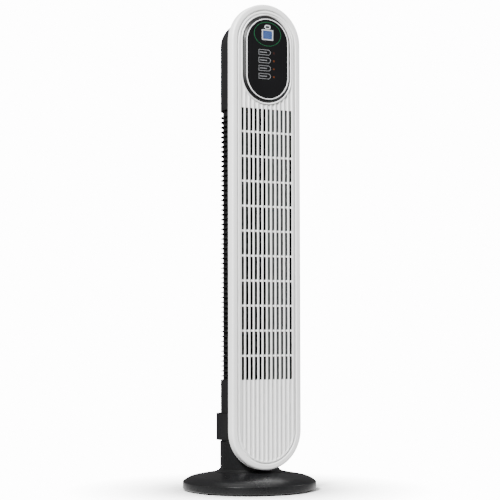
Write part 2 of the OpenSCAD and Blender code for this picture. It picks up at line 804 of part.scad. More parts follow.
module top_cap() color("#232426") difference() {
  union() {
    difference() {
      cap_solid(body_r);
      translate([0, 0, -0.01]) cap_solid(body_r - body_wall);
    }
    rear_boss(0, cap_screw_z, body_wall);
  }
  rear_hole(0, cap_screw_z);
}

module housing_screws() color("#8a8d90")
  for (p = [[0, lower_screw_z], [0, cap_screw_z], [-collar_screw_x, collar_screw_z],
            [collar_screw_x, collar_screw_z]])
    translate([p[0], rear_y - 1.2, p[1]]) rotate([90, 0, 0])
      screw(housing_screw_r - run_gap, 9, housing_screw_head_r, 1.6);

// ---- front ----

module neck_relief() translate([0, 0, panel_z - over])
  cylinder(r = neck_r + swing_gap, h = collar_z - panel_z + over);

module front_carrier() color("#232426") difference() {
  front_plate(panel_r - panel_wall - carrier_gap, top_c, low_c, panel_back, panel_back + carrier_t);
  translate([-carrier_open, -panel_back - carrier_t - over, duct_z])
    cube([2 * carrier_open, carrier_t + 2 * over, duct_top_z - duct_z]);
  front_plate(30, pod_top_c, pod_low_c, panel_back - over, panel_back + carrier_t + over);
  neck_relief();
}

// Section of the panel's rim: rounded outer edge, flat face, and a ledge that holds the grille
module panel_section() difference() {
  union() {
    translate([open_r, panel_back]) square([panel_r - panel_edge_r - open_r, panel_depth]);
    translate([open_r, panel_back]) square([panel_r - open_r, panel_depth - panel_edge_r]);
    translate([panel_r - panel_edge_r, panel_front - panel_edge_r]) circle(panel_edge_r);
    translate([ledge_r, grille_back - ledge_t]) square([face_w, ledge_t]);
  }
  translate([ledge_r - over, panel_back - over])
    square([panel_r - panel_wall - ledge_r + over, grille_back - ledge_t - panel_back + over]);
  translate([open_r + panel_wall, grille_back - ledge_t - over])
    square([panel_r - panel_edge_r - open_r - panel_wall, panel_front - panel_wall - grille_back + ledge_t + over]);
}

module front_panel() color("#e9e9e7") difference() {
  front_ring(top_c, low_c) panel_section();
  neck_relief();
}

// Plate drawn across and up, between two distances in front of the swing axis
module front_layer(from, to) rotate([90, 0, 0]) translate([0, 0, from]) linear_extrude(to - from) children();

// Outline of the ribs, crossbars and border, drawn in by an inset
module rib_outline(inset) difference() {
  union() {
    intersection() {
      stadium(grille_r - border_w / 2, top_c, low_c);
      for (j = [0 : slot_cols])
        translate([(j - slot_cols / 2) * slot_pitch - rib_w / 2 + inset, panel_z])
          square([rib_w - 2 * inset, panel_h]);
    }
    difference() {
      stadium(grille_r - inset, top_c, low_c);
      stadium(grille_r - border_w + inset, top_c, low_c);
    }
  }
  stadium(pod_open_r, pod_top_c, pod_low_c);
}

// Outline of the plate behind the ribs, open at every slot
module slotted_outline() difference() {
  stadium(grille_r, top_c, low_c);
  for (i = [0 : slot_cols - 1], k = [0 : slot_rows - 1])
    translate([(i - (slot_cols - 1) / 2) * slot_pitch - slot_w / 2,
        slot_z + k * row_pitch + (k > 0 ? crossbar_h / 2 : 0)])
      square([slot_w, row_pitch - (k > 0 && k < slot_rows - 1 ? crossbar_h : crossbar_h / 2)]);
  stadium(pod_open_r, pod_top_c, pod_low_c);
}

module front_grille() color("#e9e9e7") {
  front_layer(grille_back, grille_floor) slotted_outline();
  front_layer(grille_floor, panel_front - rib_edge) rib_outline(0);
  front_layer(panel_front - rib_edge, panel_front) rib_outline(rib_edge);
}

// ---- control pod ----

module pod_surround() color("#efefed") front_ring(pod_top_c, pod_low_c) {
  translate([pod_r + part_gap, grille_back - 2])
    square([surround_w, panel_front + 1.2 - grille_back + 2]);
  translate([pod_r + part_gap, grille_back - 2]) square([surround_w + shadow_gap + 0.6, 1.8]);
}

module pod_bezel() color("#151618") front_ring(pod_top_c, pod_low_c) polygon([
  [pod_r - 2.4, grille_back - 2], [pod_r, grille_back - 2], [pod_r, panel_front - 1.4],
  [trim_r + 0.4, pod_face], [trim_r, pod_face - 0.3], [trim_r, lens_back], [lens_r - 3, lens_back],
  [lens_r - 3, lens_back - 2.2], [pod_r - 2.4, lens_back - 2.2]]);

module pod_trim() color("#dcdde0") front_ring(pod_top_c, pod_low_c) polygon([
  [lens_r + 0.1, lens_back], [trim_r - 0.05, lens_back], [trim_r - 0.05, pod_face + 0.2],
  [trim_r - 0.5, pod_face + 0.6], [lens_r + 0.6, pod_face + 0.6], [lens_r + 0.1, pod_face + 0.2]]);

// Outline of a key: square at one end, half-round at the other; grown by a margin all round
module key_outline(grow) {
  r = key_h / 2 + grow;
  translate([key_w / 2 - key_h / 2, 0]) circle(r);
  translate([-key_w / 2 - grow, -r]) square([key_w - key_h / 2 + grow, 2 * r]);
}

function key_z(i) = pod_top_c - key_first - i * key_pitch;

// Places a shape drawn across and up at a height on the pod, between two depths
module on_pod(x, z, from, to)
  translate([x, 0, z]) rotate([90, 0, 0]) translate([0, 0, from]) linear_extrude(to - from) children();

module display_outline(grow) translate([-display_w / 2 - grow, -display_h / 2 - grow])
  square([display_w + 2 * grow, display_h + 2 * grow]);

module receiver_outline(grow) {
  for (side = [-1, 1]) translate([side * 3, 0]) circle(4.7 + grow);
  translate([-3, -4.7 - grow]) square([6, 9.4 + 2 * grow]);
}

module pod_lens() color("#0d0d0f") difference() {
  front_plate(lens_r, pod_top_c, pod_low_c, lens_back, pod_face);
  for (i = [0 : 3]) on_pod(key_x, key_z(i), lens_back - over, pod_face + over) key_outline(key_gap);
  for (i = [0 : 3]) on_pod(icon_x, key_z(i), lens_back - over, pod_face + over) circle(icon_r + run_gap);
  on_pod(0, pod_top_c + display_up, lens_back - over, pod_face + over) display_outline(run_gap);
  on_pod(0, pod_top_c + receiver_up, lens_back - over, pod_face + over) receiver_outline(run_gap);
}

module display_frame() color("#d9dbe0") on_pod(0, pod_top_c + display_up, lens_back, pod_face + 0.2)
  difference() {
    display_outline(0);
    display_outline(-display_rim);
  }

module display_panel() color("#4a66a8")
  on_pod(0, pod_top_c + display_up, board_d + board_t, pod_face) display_outline(-display_rim - run_gap);

function ellipse_points(a, b) = [for (t = [0 : 5 : 355]) [a * cos(t), b * sin(t)]];

module ring_light() color("#2f8f5b")
  on_pod(0, pod_top_c + ring_light_up, pod_face, pod_face + 0.3) difference() {
    polygon(ellipse_points(ring_light_a, ring_light_b));
    polygon(ellipse_points(ring_light_a - ring_light_w, ring_light_b - ring_light_w));
  }

module receiver_window() color("#e6e6e2")
  on_pod(0, pod_top_c + receiver_up, lens_back, pod_face + 0.2) receiver_outline(0);

module icon_lights() color("#c2541c")
  for (i = [0 : 3]) on_pod(icon_x, key_z(i), board_d + board_t, pod_face + 0.1) circle(icon_r);

module control_board() color("#1f5a3a")
  front_plate(lens_r - 6, pod_top_c, pod_low_c, board_d, board_d + board_t);

module key_switches() color("#3a3b3d")
  for (i = [0 : 3]) on_pod(key_x, key_z(i), board_d + board_t, board_d + board_t + switch_h)
    translate([-3, -3]) square(6);

// A key: cap in its opening, a lip behind the lens, and a stem that reaches its switch
module push_key(i) {
  lip_front = lens_back - part_gap;
  on_pod(key_x, key_z(i), lip_front - 1.6, pod_face + key_proud) key_outline(0);
  on_pod(key_x, key_z(i), lip_front - 1.6, lip_front) key_outline(lip_w);
  on_pod(key_x, key_z(i), board_d + board_t + switch_h + key_travel + 0.1, lip_front - 1) circle(2);
}

module power_key() color("#17181a") push_key(0);
module speed_key() color("#17181a") push_key(1);
module timer_key() color("#17181a") push_key(2);
module swing_key() color("#17181a") push_key(3);

base_cover();
base_plate();
base_feet();
base_screws();
neck();
neck_ring();
neck_screws();
swing_gear();
race_lower();
bearing_cage();
bearing_balls();
race_upper();
turntable();
pivot_washer();
pivot_nut();
swing_motor();
swing_pinion();
collar();
cord_gland();
driver_board();
run_capacitor();
lower_shell();
motor_bracket();
motor_dampers();
motor_lower_bell();
motor_stator();
motor_upper_bell();
motor_bushes();
motor_rotor();
motor_shaft();
duct_floor();
duct_ceiling();
duct_scroll();
duct_tongue();
impeller();
impeller_axle();
bearing_rubber();
top_bearing();
intake_grille();
intake_screen();
top_cap();
housing_screws();
front_carrier();
front_panel();
front_grille();
pod_surround();
pod_bezel();
pod_trim();
pod_lens();
display_frame();
display_panel();
ring_light();
receiver_window();
icon_lights();
control_board();
key_switches();
power_key();
speed_key();
timer_key();
swing_key();
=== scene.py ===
import math

import bmesh
import bpy
from bpy.props import FloatProperty, FloatVectorProperty, IntProperty, PointerProperty
from mathutils import Matrix, Vector


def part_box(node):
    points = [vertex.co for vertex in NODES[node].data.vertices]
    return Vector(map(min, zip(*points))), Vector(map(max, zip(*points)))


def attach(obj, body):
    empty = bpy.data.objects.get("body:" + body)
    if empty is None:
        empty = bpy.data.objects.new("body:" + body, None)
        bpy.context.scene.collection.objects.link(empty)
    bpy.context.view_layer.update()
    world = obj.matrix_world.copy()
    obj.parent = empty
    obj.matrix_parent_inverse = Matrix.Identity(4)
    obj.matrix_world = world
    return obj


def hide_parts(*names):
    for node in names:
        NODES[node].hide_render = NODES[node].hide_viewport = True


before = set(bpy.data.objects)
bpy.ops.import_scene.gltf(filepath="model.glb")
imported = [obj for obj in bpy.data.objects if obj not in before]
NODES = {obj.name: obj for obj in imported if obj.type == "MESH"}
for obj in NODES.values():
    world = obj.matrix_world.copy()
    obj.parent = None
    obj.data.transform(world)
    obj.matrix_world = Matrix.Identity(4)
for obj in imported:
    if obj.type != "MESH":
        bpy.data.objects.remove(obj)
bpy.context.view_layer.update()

bl_info = {
    "name": "Tower fan",
    "version": (1, 0, 0),
    "blender": (4, 5, 0),
    "location": "3D View > Sidebar > Tower fan",
    "description": "Finishes a tower fan around its fixed frame",
    "category": "Object",
}

MM = 0.001


# ---- places, read from the frame, in millimetres ----

def low(node):
    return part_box(node)[0] / MM


def high(node):
    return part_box(node)[1] / MM


BASE_R = high("base_cover").x
BASE_LOW = low("base_cover").z
NECK_R = high("neck").x
NECK_LOW = low("neck").z
NECK_TOP = high("neck").z
PANEL_R = high("front_panel").x
PANEL_FRONT = -low("front_panel").y
PANEL_BACK = -high("front_panel").y
TOP_C = high("front_panel").z - PANEL_R
LOW_C = low("front_panel").z + PANEL_R
GRILLE_R = high("front_grille").x
GRILLE_BACK = -high("front_grille").y
POD_R = high("pod_bezel").x
POD_LOW_C = low("pod_bezel").z + POD_R
POD_FACE = -low("pod_lens").y
LENS_R = high("pod_lens").x
LENS_BACK = -high("pod_lens").y
TRIM_R = high("pod_trim").x
BODY_R = high("lower_shell").x
REAR_Y = high("lower_shell").y
BACK_C = REAR_Y - BODY_R
COLLAR_LOW = low("collar").z
COLLAR_TOP = high("collar").z
COLLAR_R = high("collar").x
FINS_LOW = low("intake_grille").z
FINS_TOP = high("intake_grille").z
CAP_C = high("top_cap").z - BODY_R
ROTOR_R = high("impeller").x
ROTOR_LOW = low("impeller").z
ROTOR_TOP = high("impeller").z

# Screws in the back of the housing, the boss behind each and the recess for its head.
HEAD_R, HEAD_H, SHANK_R = 3.6, 1.5, 1.75
BOSS_R, BOSS_DEPTH = 5, 12
SINK_R, SINK = 4, 1.2
# The base's screws and how far they are from its rim.
BASE_SCREWS, SCREW_INSET = 6, 25
# How far a cutter runs past the face that it cuts.
OVER = 1
KEYS = ("power_key", "speed_key", "timer_key", "swing_key")


# ---- outlines and skins ----

def arc(cx, cy, r, start, end, steps):
    """Points of an arc, in degrees, from start to end."""
    return [(cx + r * math.cos(math.radians(start + (end - start) * i / steps)),
             cy + r * math.sin(math.radians(start + (end - start) * i / steps)))
            for i in range(steps + 1)]


def circle(cx, cy, r, steps, start=0):
    """Points of a whole circle, without the first one again."""
    return arc(cx, cy, r, start, start + 360, steps)[:-1]


def rounded(points, radius, steps=3):
    """Closed outline with every corner rounded; radius is one number or one for each corner."""
    out = []
    count = len(points)
    for i, corner in enumerate(points):
        r = radius[i] if isinstance(radius, (list, tuple)) else radius
        here = Vector(corner)
        back = Vector(points[i - 1]) - here
        ahead = Vector(points[(i + 1) % count]) - here
        if r <= 0:
            out.append(tuple(here))
            continue
        angle = back.angle(ahead)
        reach = min(r / math.tan(angle / 2), back.length * 0.49, ahead.length * 0.49)
        a, b = here + back.normalized() * reach, here + ahead.normalized() * reach
        for k in range(steps + 1):
            t = k / steps
            out.append(tuple(a * (1 - t) ** 2 + here * 2 * t * (1 - t) + b * t ** 2))
    return out


def skin(rows, around=True, caps=False):
    """Quads between rows of points. Each row is a closed loop; around joins the last row to the first."""
    count, width = len(rows), len(rows[0])
    points = [p for row in rows for p in row]
    faces = []
    for i in range(count if around else count - 1):
        k = (i + 1) % count
        for j in range(width):
            m = (j + 1) % width
            faces.append((i * width + j, i * width + m, k * width + m, k * width + j))
    if caps:
        faces.append(tuple(range(width)))
        faces.append(tuple((count - 1) * width + j for j in reversed(range(width))))
    return points, faces


def lathe(section, steps=96, centre=(0, 0)):
    """A closed section of (radius, height) turned round an upright axis."""
    rows = []
    for i in range(steps):
        a = 2 * math.pi * i / steps
        rows.append([(centre[0] + r * math.cos(a), centre[1] + r * math.sin(a), z) for r, z in section])
    return skin(rows)


def stadium_path(top, bottom, steps=36):
    """Centre and outward direction along an upright stadium."""
    path = []
    for centre, start in ((top, 0), (bottom, 180)):
        for i in range(steps + 1):
            a = math.radians(start + 180 * i / steps)
            path.append((0, centre, math.cos(a), math.sin(a)))
    return path


def front_ring(section, top, bottom, steps=36):
    """A closed section of (radius, distance in front of the axis) carried round a stadium."""
    return skin([[(cx + r * nx, -d, cz + r * nz) for r, d in section]
                 for cx, cz, nx, nz in stadium_path(top, bottom, steps)])


def front_plate(outline, back, front):
    """A plate between two distances in front of the axis; the outline is drawn across and up."""
    return skin([[(x, -back, z) for x, z in outline], [(x, -front, z) for x, z in outline]],
                around=False, caps=True)


def stadium_outline(r, top, bottom, steps=36):
    """The stadium's own outline, drawn across and up."""
    return [(cx + r * nx, cz + r * nz) for cx, cz, nx, nz in stadium_path(top, bottom, steps)]


def housing_path(steps=40, sides=6):
    """Centre and outward direction from one front edge of the housing round its back to the other."""
    straight = [-PANEL_BACK + (BACK_C + PANEL_BACK) * i / sides for i in range(sides)]
    path = [(0, y, -1, 0) for y in straight]
    for i in range(steps + 1):
        a = math.radians(180 - 180 * i / steps)
        path.append((0, BACK_C, math.cos(a), math.sin(a)))
    return path + [(0, y, 1, 0) for y in reversed(straight)]


def collar_path(corner, steps=14):
    """The same for the collar, whose back has two rounded corners."""
    x, y = COLLAR_R - corner, REAR_Y - corner
    path = [(-x, -PANEL_BACK, -1, 0)]
    for side, start in ((-1, 180), (1, 90)):
        for i in range(steps + 1):
            a = math.radians(start - 90 * i / steps)
            path.append((side * x, y, math.cos(a), math.sin(a)))
    return path + [(x, -PANEL_BACK, 1, 0)]


def shell(section, path):
    """A closed section of (radius, height) carried along an open path, with its two ends closed."""
    return skin([[(cx + r * nx, cy + r * ny, z) for r, z in section] for cx, cy, nx, ny in path],
                around=False, caps=True)


def block(x0, y0, z0, x1, y1, z1, edge=0.3):
    """A bar with rounded upright edges."""
    return upright(rounded([(x0, y0), (x1, y0), (x1, y1), (x0, y1)], edge, 2), z0, z1)


MIRROR = Matrix.Diagonal((-1, 1, 1, 1))


def turned(part, matrix):
    """A part moved by a matrix."""
    return [tuple(matrix @ Vector(p)) for p in part[0]], part[1]


def front_frame(outer, inner, back, front):
    """A flat frame between two outlines with as many points, from back to front."""
    return skin([[(p[0], -back, p[1]), (p[0], -front, p[1]), (q[0], -front, q[1]), (q[0], -back, q[1])]
                 for p, q in zip(outer, inner)])


def box_outline(lo, hi, corner):
    """Outline of a node's front, between its two corners."""
    return rounded([(lo.x, lo.z), (hi.x, lo.z), (hi.x, hi.z), (lo.x, hi.z)], corner, 2)


def upright(outline, z0, z1):
    """A solid with an outline drawn from above, between two levels."""
    return skin([[(x, y, z) for x, y in outline] for z in (z0, z1)], around=False, caps=True)


def tube_back(x, z, outer, inner, start, end):
    """A tube along the depth, from one y to another."""
    points, faces = lathe([(inner, start), (outer, start), (outer, end), (inner, end)], 24)
    return [(x + px, pz, z - py) for px, py, pz in points], faces


def rod_back(x, z, r, start, end, steps=24):
    """A rod along the depth, from one y to another."""
    rows = [[(px, y, pz) for px, pz in circle(x, z, r, steps)] for y in (start, end)]
    return skin(rows, around=False, caps=True)


def back_boss(x, z, wall):
    """Boss behind a screw in the back of the housing."""
    return tube_back(x, z, BOSS_R, SHANK_R, REAR_Y - BOSS_DEPTH, REAR_Y - wall + 0.2)


def back_sink(x, z):
    """Cutter for the recess round the head of such a screw."""
    return rod_back(x, z, SINK_R, REAR_Y - SINK, REAR_Y + OVER)


# ---- meshes ----

# Points closer than this, in millimetres, become one.
WELD = 0.002


def mesh_of(name, parts):
    """One mesh in metres from parts in millimetres, welded, with its faces turned outwards."""
    bm = bmesh.new()
    for points, faces in parts:
        verts = [bm.verts.new((p[0] * MM, p[1] * MM, p[2] * MM)) for p in points]
        for face in faces:
            if len(set(face)) > 2:
                bm.faces.new([verts[i] for i in face])
    bmesh.ops.remove_doubles(bm, verts=bm.verts, dist=WELD * MM)
    bmesh.ops.dissolve_degenerate(bm, edges=bm.edges, dist=1e-7)
    bmesh.ops.recalc_face_normals(bm, faces=bm.faces)
    mesh = bpy.data.meshes.new(name)
    bm.to_mesh(mesh)
    bm.free()
    return mesh


def solid(name, parts):
    """A new object in the scene."""
    obj = bpy.data.objects.new(name, mesh_of(name, parts))
    bpy.context.scene.collection.objects.link(obj)
    return obj


def settle(obj):
    """Applies everything live on a piece, so that it is one plain mesh."""
    bpy.context.view_layer.update()
    evaluated = obj.evaluated_get(bpy.context.evaluated_depsgraph_get())
    mesh = bpy.data.meshes.new_from_object(evaluated)
    obj.modifiers.clear()
    old, obj.data = obj.data, mesh
    mesh.name = obj.name
    bpy.data.meshes.remove(old)
    return obj


def discard(obj):
    """Removes an object and its mesh."""
    mesh = obj.data
    bpy.data.objects.remove(obj)
    bpy.data.meshes.remove(mesh)


def joined(target, *others):
    """Moves the meshes of other objects into one."""
    bm = bmesh.new()
    for obj in (target,) + others:
        bm.from_mesh(obj.data)
    bm.to_mesh(target.data)
    bm.free()
    for obj in others:
        discard(obj)
    return target


def subtract(obj, tool):
    """Takes another object's shape out of a piece, and removes that object."""
    modifier = obj.modifiers.new("cut", "BOOLEAN")
    modifier.operation, modifier.solver, modifier.object = "DIFFERENCE", "EXACT", tool
    settle(obj)
    discard(tool)
    return obj


def cut(obj, cutters):
    """Takes the cutters' shapes out of a piece; the cutters don't overlap each other."""
    return subtract(obj, solid(obj.name + "_cutter", cutters))


def soften(obj, width, steps=2, angle=40):
    """Rounds the sharp edges, those that turn by more than the angle in degrees."""
    modifier = obj.modifiers.new("edges", "BEVEL")
    modifier.width, modifier.segments = width * MM, steps
    modifier.limit_method, modifier.angle_limit = "ANGLE", math.radians(angle)
    modifier.use_clamp_overlap = True
    return settle(obj)


def finish_piece(obj, finish, body, nodes=(), slot=None, smooth=36):
    """Shading, material and place in the frame for a new piece; the slot argument is not used."""
    mesh = obj.data
    mesh.materials.clear()
    mesh.materials.append(material(finish))
    mesh.polygons.foreach_set("material_index", [0] * len(mesh.polygons))
    mesh.polygons.foreach_set("use_smooth", [True] * len(mesh.polygons))
    mesh.set_sharp_from_angle(angle=math.radians(smooth))
    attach(obj, body)
    if nodes:
        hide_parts(*nodes)
    return obj


def piece(name, parts, *given, **more):
    """A new piece straight from its parts."""
    return finish_piece(solid(name, parts), *given, **more)


def finish_nodes(finish, *names):
    """A better material for carried-over nodes."""
    for name in names:
        NODES[name].data.materials.clear()
        NODES[name].data.materials.append(material(finish))


# ---- geometry nodes ----

def new_tree(name, sizes):
    """An empty geometry tree with named inputs: (label, socket type, value)."""
    tree = bpy.data.node_groups.new(name, "GeometryNodeTree")
    tree.interface.new_socket(name="Geometry", in_out="INPUT", socket_type="NodeSocketGeometry")
    for label, kind, value in sizes:
        socket = tree.interface.new_socket(name=label, in_out="INPUT", socket_type=kind)
        if value is not None:
            socket.default_value = value
    tree.interface.new_socket(name="Geometry", in_out="OUTPUT", socket_type="NodeSocketGeometry")
    return tree, tree.nodes.new("NodeGroupInput").outputs


def add(tree, kind, inputs=None, **settings):
    """A node with its settings, its inputs linked to sockets or set to values."""
    node = tree.nodes.new(kind)
    for key, value in settings.items():
        setattr(node, key, value)
    for key, value in (inputs or {}).items():
        if isinstance(value, bpy.types.NodeSocket):
            tree.links.new(value, node.inputs[key])
        else:
            node.inputs[key].default_value = value
    return node


def maths(tree, operation, a, b=0.0):
    """One sum on two values or sockets."""
    return add(tree, "ShaderNodeMath", {0: a, 1: b}, operation=operation).outputs[0]


def close_tree(tree, geometry, finish):
    """Every tree ends in Realize Instances and Set Material."""
    real = add(tree, "GeometryNodeRealizeInstances", {"Geometry": geometry})
    painted = add(tree, "GeometryNodeSetMaterial", {"Geometry": real.outputs[0], "Material": finish})
    out = tree.nodes.new("NodeGroupOutput")
    tree.links.new(painted.outputs[0], out.inputs[0])


def run_tree(obj, tree, values):
    """Puts a tree on a piece, sets its inputs by identifier, and makes the result a plain mesh."""
    modifier = obj.modifiers.new(tree.name, "NODES")
    modifier.node_group = tree
    for item in tree.interface.items_tree:
        if item.item_type == "SOCKET" and item.in_out == "INPUT" and item.name in values:
            modifier[item.identifier] = values[item.name]
    return settle(obj)


def row_tree():
    """Repeats the piece in a straight row."""
    tree, given = new_tree("straight_row", [
        ("Count", "NodeSocketInt", 2), ("Step", "NodeSocketVector", None),
        ("Finish", "NodeSocketMaterial", None)])
    line = add(tree, "GeometryNodeMeshLine", {"Count": given["Count"], "Offset": given["Step"]},
               mode="OFFSET")
    put = add(tree, "GeometryNodeInstanceOnPoints",
              {"Points": line.outputs[0], "Instance": given["Geometry"]})
    close_tree(tree, put.outputs[0], given["Finish"])
    return tree


def ring_tree():
    """Repeats the piece round an upright axis."""
    tree, given = new_tree("round_ring", [
        ("Count", "NodeSocketInt", 2), ("Start", "NodeSocketFloat", 0.0),
        ("Sweep", "NodeSocketFloat", 360.0),
        ("Centre", "NodeSocketVector", None), ("Finish", "NodeSocketMaterial", None)])
    line = add(tree, "GeometryNodeMeshLine",
               {"Count": given["Count"], "Start Location": given["Centre"], "Offset": (0, 0, 0)},
               mode="OFFSET")
    step = maths(tree, "DIVIDE", given["Sweep"], given["Count"])
    index = tree.nodes.new("GeometryNodeInputIndex").outputs[0]
    angle = maths(tree, "ADD", maths(tree, "MULTIPLY", index, step), given["Start"])
    turn = add(tree, "ShaderNodeCombineXYZ", {"Z": maths(tree, "RADIANS", angle)})
    put = add(tree, "GeometryNodeInstanceOnPoints",
              {"Points": line.outputs[0], "Instance": given["Geometry"], "Rotation": turn.outputs[0]})
    close_tree(tree, put.outputs[0], given["Finish"])
    return tree


BUILT = {}


def built(maker):
    """Each geometry tree and shader group is made once."""
    if maker not in BUILT:
        BUILT[maker] = maker()
    return BUILT[maker]


def in_row(obj, count, step, finish):
    """Repeats a piece in a straight row, with a step in millimetres."""
    return run_tree(obj, built(row_tree), {"Count": count, "Step": tuple(v * MM for v in step),
                                           "Finish": material(finish)})


def in_ring(obj, count, finish, start=0.0, sweep=360.0, centre=(0, 0, 0)):
    """Repeats a piece round an upright axis through a centre, over a sweep in degrees."""
    return run_tree(obj, built(ring_tree), {"Count": count, "Start": start, "Sweep": sweep,
                                            "Centre": tuple(v * MM for v in centre),
                                            "Finish": material(finish)})


# ---- shader groups ----

def new_group(name, inputs, outputs):
    """An empty shader group with named values in and out."""
    tree = bpy.data.node_groups.new(name, "ShaderNodeTree")
    for label, value in inputs:
        socket = tree.interface.new_socket(name=label, in_out="INPUT", socket_type="NodeSocketFloat")
        socket.default_value = value
    for label in outputs:
        tree.interface.new_socket(name=label, in_out="OUTPUT", socket_type="NodeSocketFloat")
    return tree, tree.nodes.new("NodeGroupInput").outputs, tree.nodes.new("NodeGroupOutput").inputs


def noise(tree, vector, scale, detail=3.0, rough=0.55):
    return add(tree, "ShaderNodeTexNoise",
               {"Vector": vector, "Scale": scale, "Detail": detail, "Roughness": rough}).outputs[0]


def spread(tree, value, low_in, high_in, low_out, high_out):
    """Stretches one range of a value to another."""
    return add(tree, "ShaderNodeMapRange",
               {"Value": value, "From Min": low_in, "From Max": high_in, "To Min": low_out,
                "To Max": high_out}).outputs[0]


def object_coords(tree):
    return tree.nodes.new("ShaderNodeTexCoord").outputs["Object"]


def grain_group():
    """Fine texture of a moulded surface: small pits and a slow ripple."""
    tree, given, out = new_group("moulded_grain", [("Scale", 900.0), ("Ripple", 0.3)], ["Height"])
    at = object_coords(tree)
    pits = noise(tree, at, given["Scale"], 2.0, 0.6)
    slow = noise(tree, at, 22.0, 2.0)
    tree.links.new(maths(tree, "ADD", pits, maths(tree, "MULTIPLY", slow, given["Ripple"])), out["Height"])
    return tree


def marks_group():
    """Smudges and hairline scratches from handling and wiping."""
    tree, given, out = new_group("handling_marks", [("Smudge Scale", 14.0), ("Scratches", 0.4)],
                                 ["Smudges", "Scratches"])
    at = object_coords(tree)
    tree.links.new(spread(tree, noise(tree, at, given["Smudge Scale"], 5.0, 0.62), 0.36, 0.68, 0.0, 1.0),
                   out["Smudges"])
    lines = None
    for angle, stretch in ((0.4, 30.0), (-0.7, 22.0)):
        way = add(tree, "ShaderNodeMapping", {"Vector": at, "Rotation": (0.3, angle, 0.6),
                                             "Scale": (stretch, 900.0, stretch)}).outputs[0]
        thin = spread(tree, noise(tree, way, 1.0, 2.0, 0.5), 0.66, 0.74, 0.0, 1.0)
        lines = thin if lines is None else maths(tree, "MAXIMUM", lines, thin)
    tree.links.new(maths(tree, "MULTIPLY", lines, given["Scratches"]), out["Scratches"])
    return tree


def dust_group():
    """Dust that settles on faces that look up."""
    tree, given, out = new_group("settled_dust", [("Amount", 0.3), ("Speck Scale", 700.0)], ["Mask"])
    at = object_coords(tree)
    normal = tree.nodes.new("ShaderNodeNewGeometry").outputs["Normal"]
    up = add(tree, "ShaderNodeSeparateXYZ", {0: normal})
    facing = spread(tree, up.outputs["Z"], 0.35, 0.98, 0.0, 1.0)
    film = spread(tree, noise(tree, at, 30.0, 4.0), 0.3, 0.75, 0.25, 1.0)
    specks = spread(tree, noise(tree, at, given["Speck Scale"], 2.0), 0.56, 0.74, 0.15, 1.0)
    mask = maths(tree, "MULTIPLY", maths(tree, "MULTIPLY", facing, film), specks)
    tree.links.new(maths(tree, "MULTIPLY", mask, given["Amount"]), out["Mask"])
    return tree


def group(tree, maker, **values):
    """Places a shared group in a material with its own values."""
    node = tree.nodes.new("ShaderNodeGroup")
    node.node_tree = built(maker)
    for key, value in values.items():
        node.inputs[key.replace("_", " ").title()].default_value = value
    return node.outputs


# Numbers of a Mix node's colour sockets, which share their names with its other sockets.
MIX_A, MIX_B, MIX_RESULT = 6, 7, 2


def mix_colour(tree, factor, a, b, blend="MIX"):
    """Mixes two colours or sockets."""
    node = add(tree, "ShaderNodeMix", {0: factor}, data_type="RGBA", blend_type=blend)
    for key, value in ((MIX_A, a), (MIX_B, b)):
        if isinstance(value, bpy.types.NodeSocket):
            tree.links.new(value, node.inputs[key])
        else:
            node.inputs[key].default_value = tuple(value[:3]) + (1.0,)
    return node.outputs[MIX_RESULT]


def dimmed(tree, colour, level):
    """A colour times a level that changes over the surface."""
    grey = add(tree, "ShaderNodeCombineColor", {0: level, 1: level, 2: level}).outputs[0]
    return mix_colour(tree, 1.0, colour, grey, "MULTIPLY")


# ---- materials ----

DUST = (0.36, 0.35, 0.33)


def start_material(name):
    """A new material, its tree and its shader."""
    made = bpy.data.materials.new(name)
    made.use_nodes = True
    tree = made.node_tree
    return made, tree, tree.nodes["Principled BSDF"]


def shade(tree, shader, colour, rough, height, depth, dust=0.2, tint=0.06, scratches=0.3):
    """Common part of every finish: uneven colour, marks in the gloss, dust on top, and relief."""
    slow = noise(tree, object_coords(tree), 11.0, 4.0)
    shift = spread(tree, slow, 0.3, 0.7, 1.0 - tint, 1.0 + tint)
    base = dimmed(tree, colour, shift)
    marks = group(tree, marks_group, scratches=scratches)
    settled = group(tree, dust_group, amount=dust)["Mask"]
    tree.links.new(mix_colour(tree, settled, base, DUST), shader.inputs["Base Color"])
    wiped = spread(tree, marks["Smudges"], 0.0, 1.0, *rough)
    scratched = maths(tree, "ADD", wiped, maths(tree, "MULTIPLY", marks["Scratches"], 0.25))
    dulled = maths(tree, "ADD", scratched, maths(tree, "MULTIPLY", settled, 0.5))
    tree.links.new(dulled, shader.inputs["Roughness"])
    if height is not None:
        relief = maths(tree, "SUBTRACT", height, maths(tree, "MULTIPLY", marks["Scratches"], 0.3))
        bump = add(tree, "ShaderNodeBump", {"Strength": 1.0, "Distance": depth * MM, "Height": relief})
        tree.links.new(bump.outputs[0], shader.inputs["Normal"])


def plastic(name, colour, rough, grain=900.0, ripple=0.3, depth=0.012, dust=0.2, tint=0.06,
            scratches=0.3, coat=0.0, specular=0.5):
    """Moulded surface with its fine texture."""
    made, tree, shader = start_material(name)
    height = group(tree, grain_group, scale=grain, ripple=ripple)["Height"]
    shade(tree, shader, colour, rough, height, depth, dust, tint, scratches)
    shader.inputs["Coat Weight"].default_value = coat
    shader.inputs["Coat Roughness"].default_value = 0.06
    shader.inputs["Specular IOR Level"].default_value = specular
    return made


def metal(name, colour, rough, stretch=(1.0, 1.0, 1.0), depth=0.01, dust=0.1):
    """Bare metal with a direction of brushing."""
    made, tree, shader = start_material(name)
    way = add(tree, "ShaderNodeMapping", {"Vector": object_coords(tree), "Scale": stretch}).outputs[0]
    shade(tree, shader, colour, rough, noise(tree, way, 260.0, 3.0, 0.7), depth, dust, 0.08, 0.5)
    shader.inputs["Metallic"].default_value = 1.0
    return made


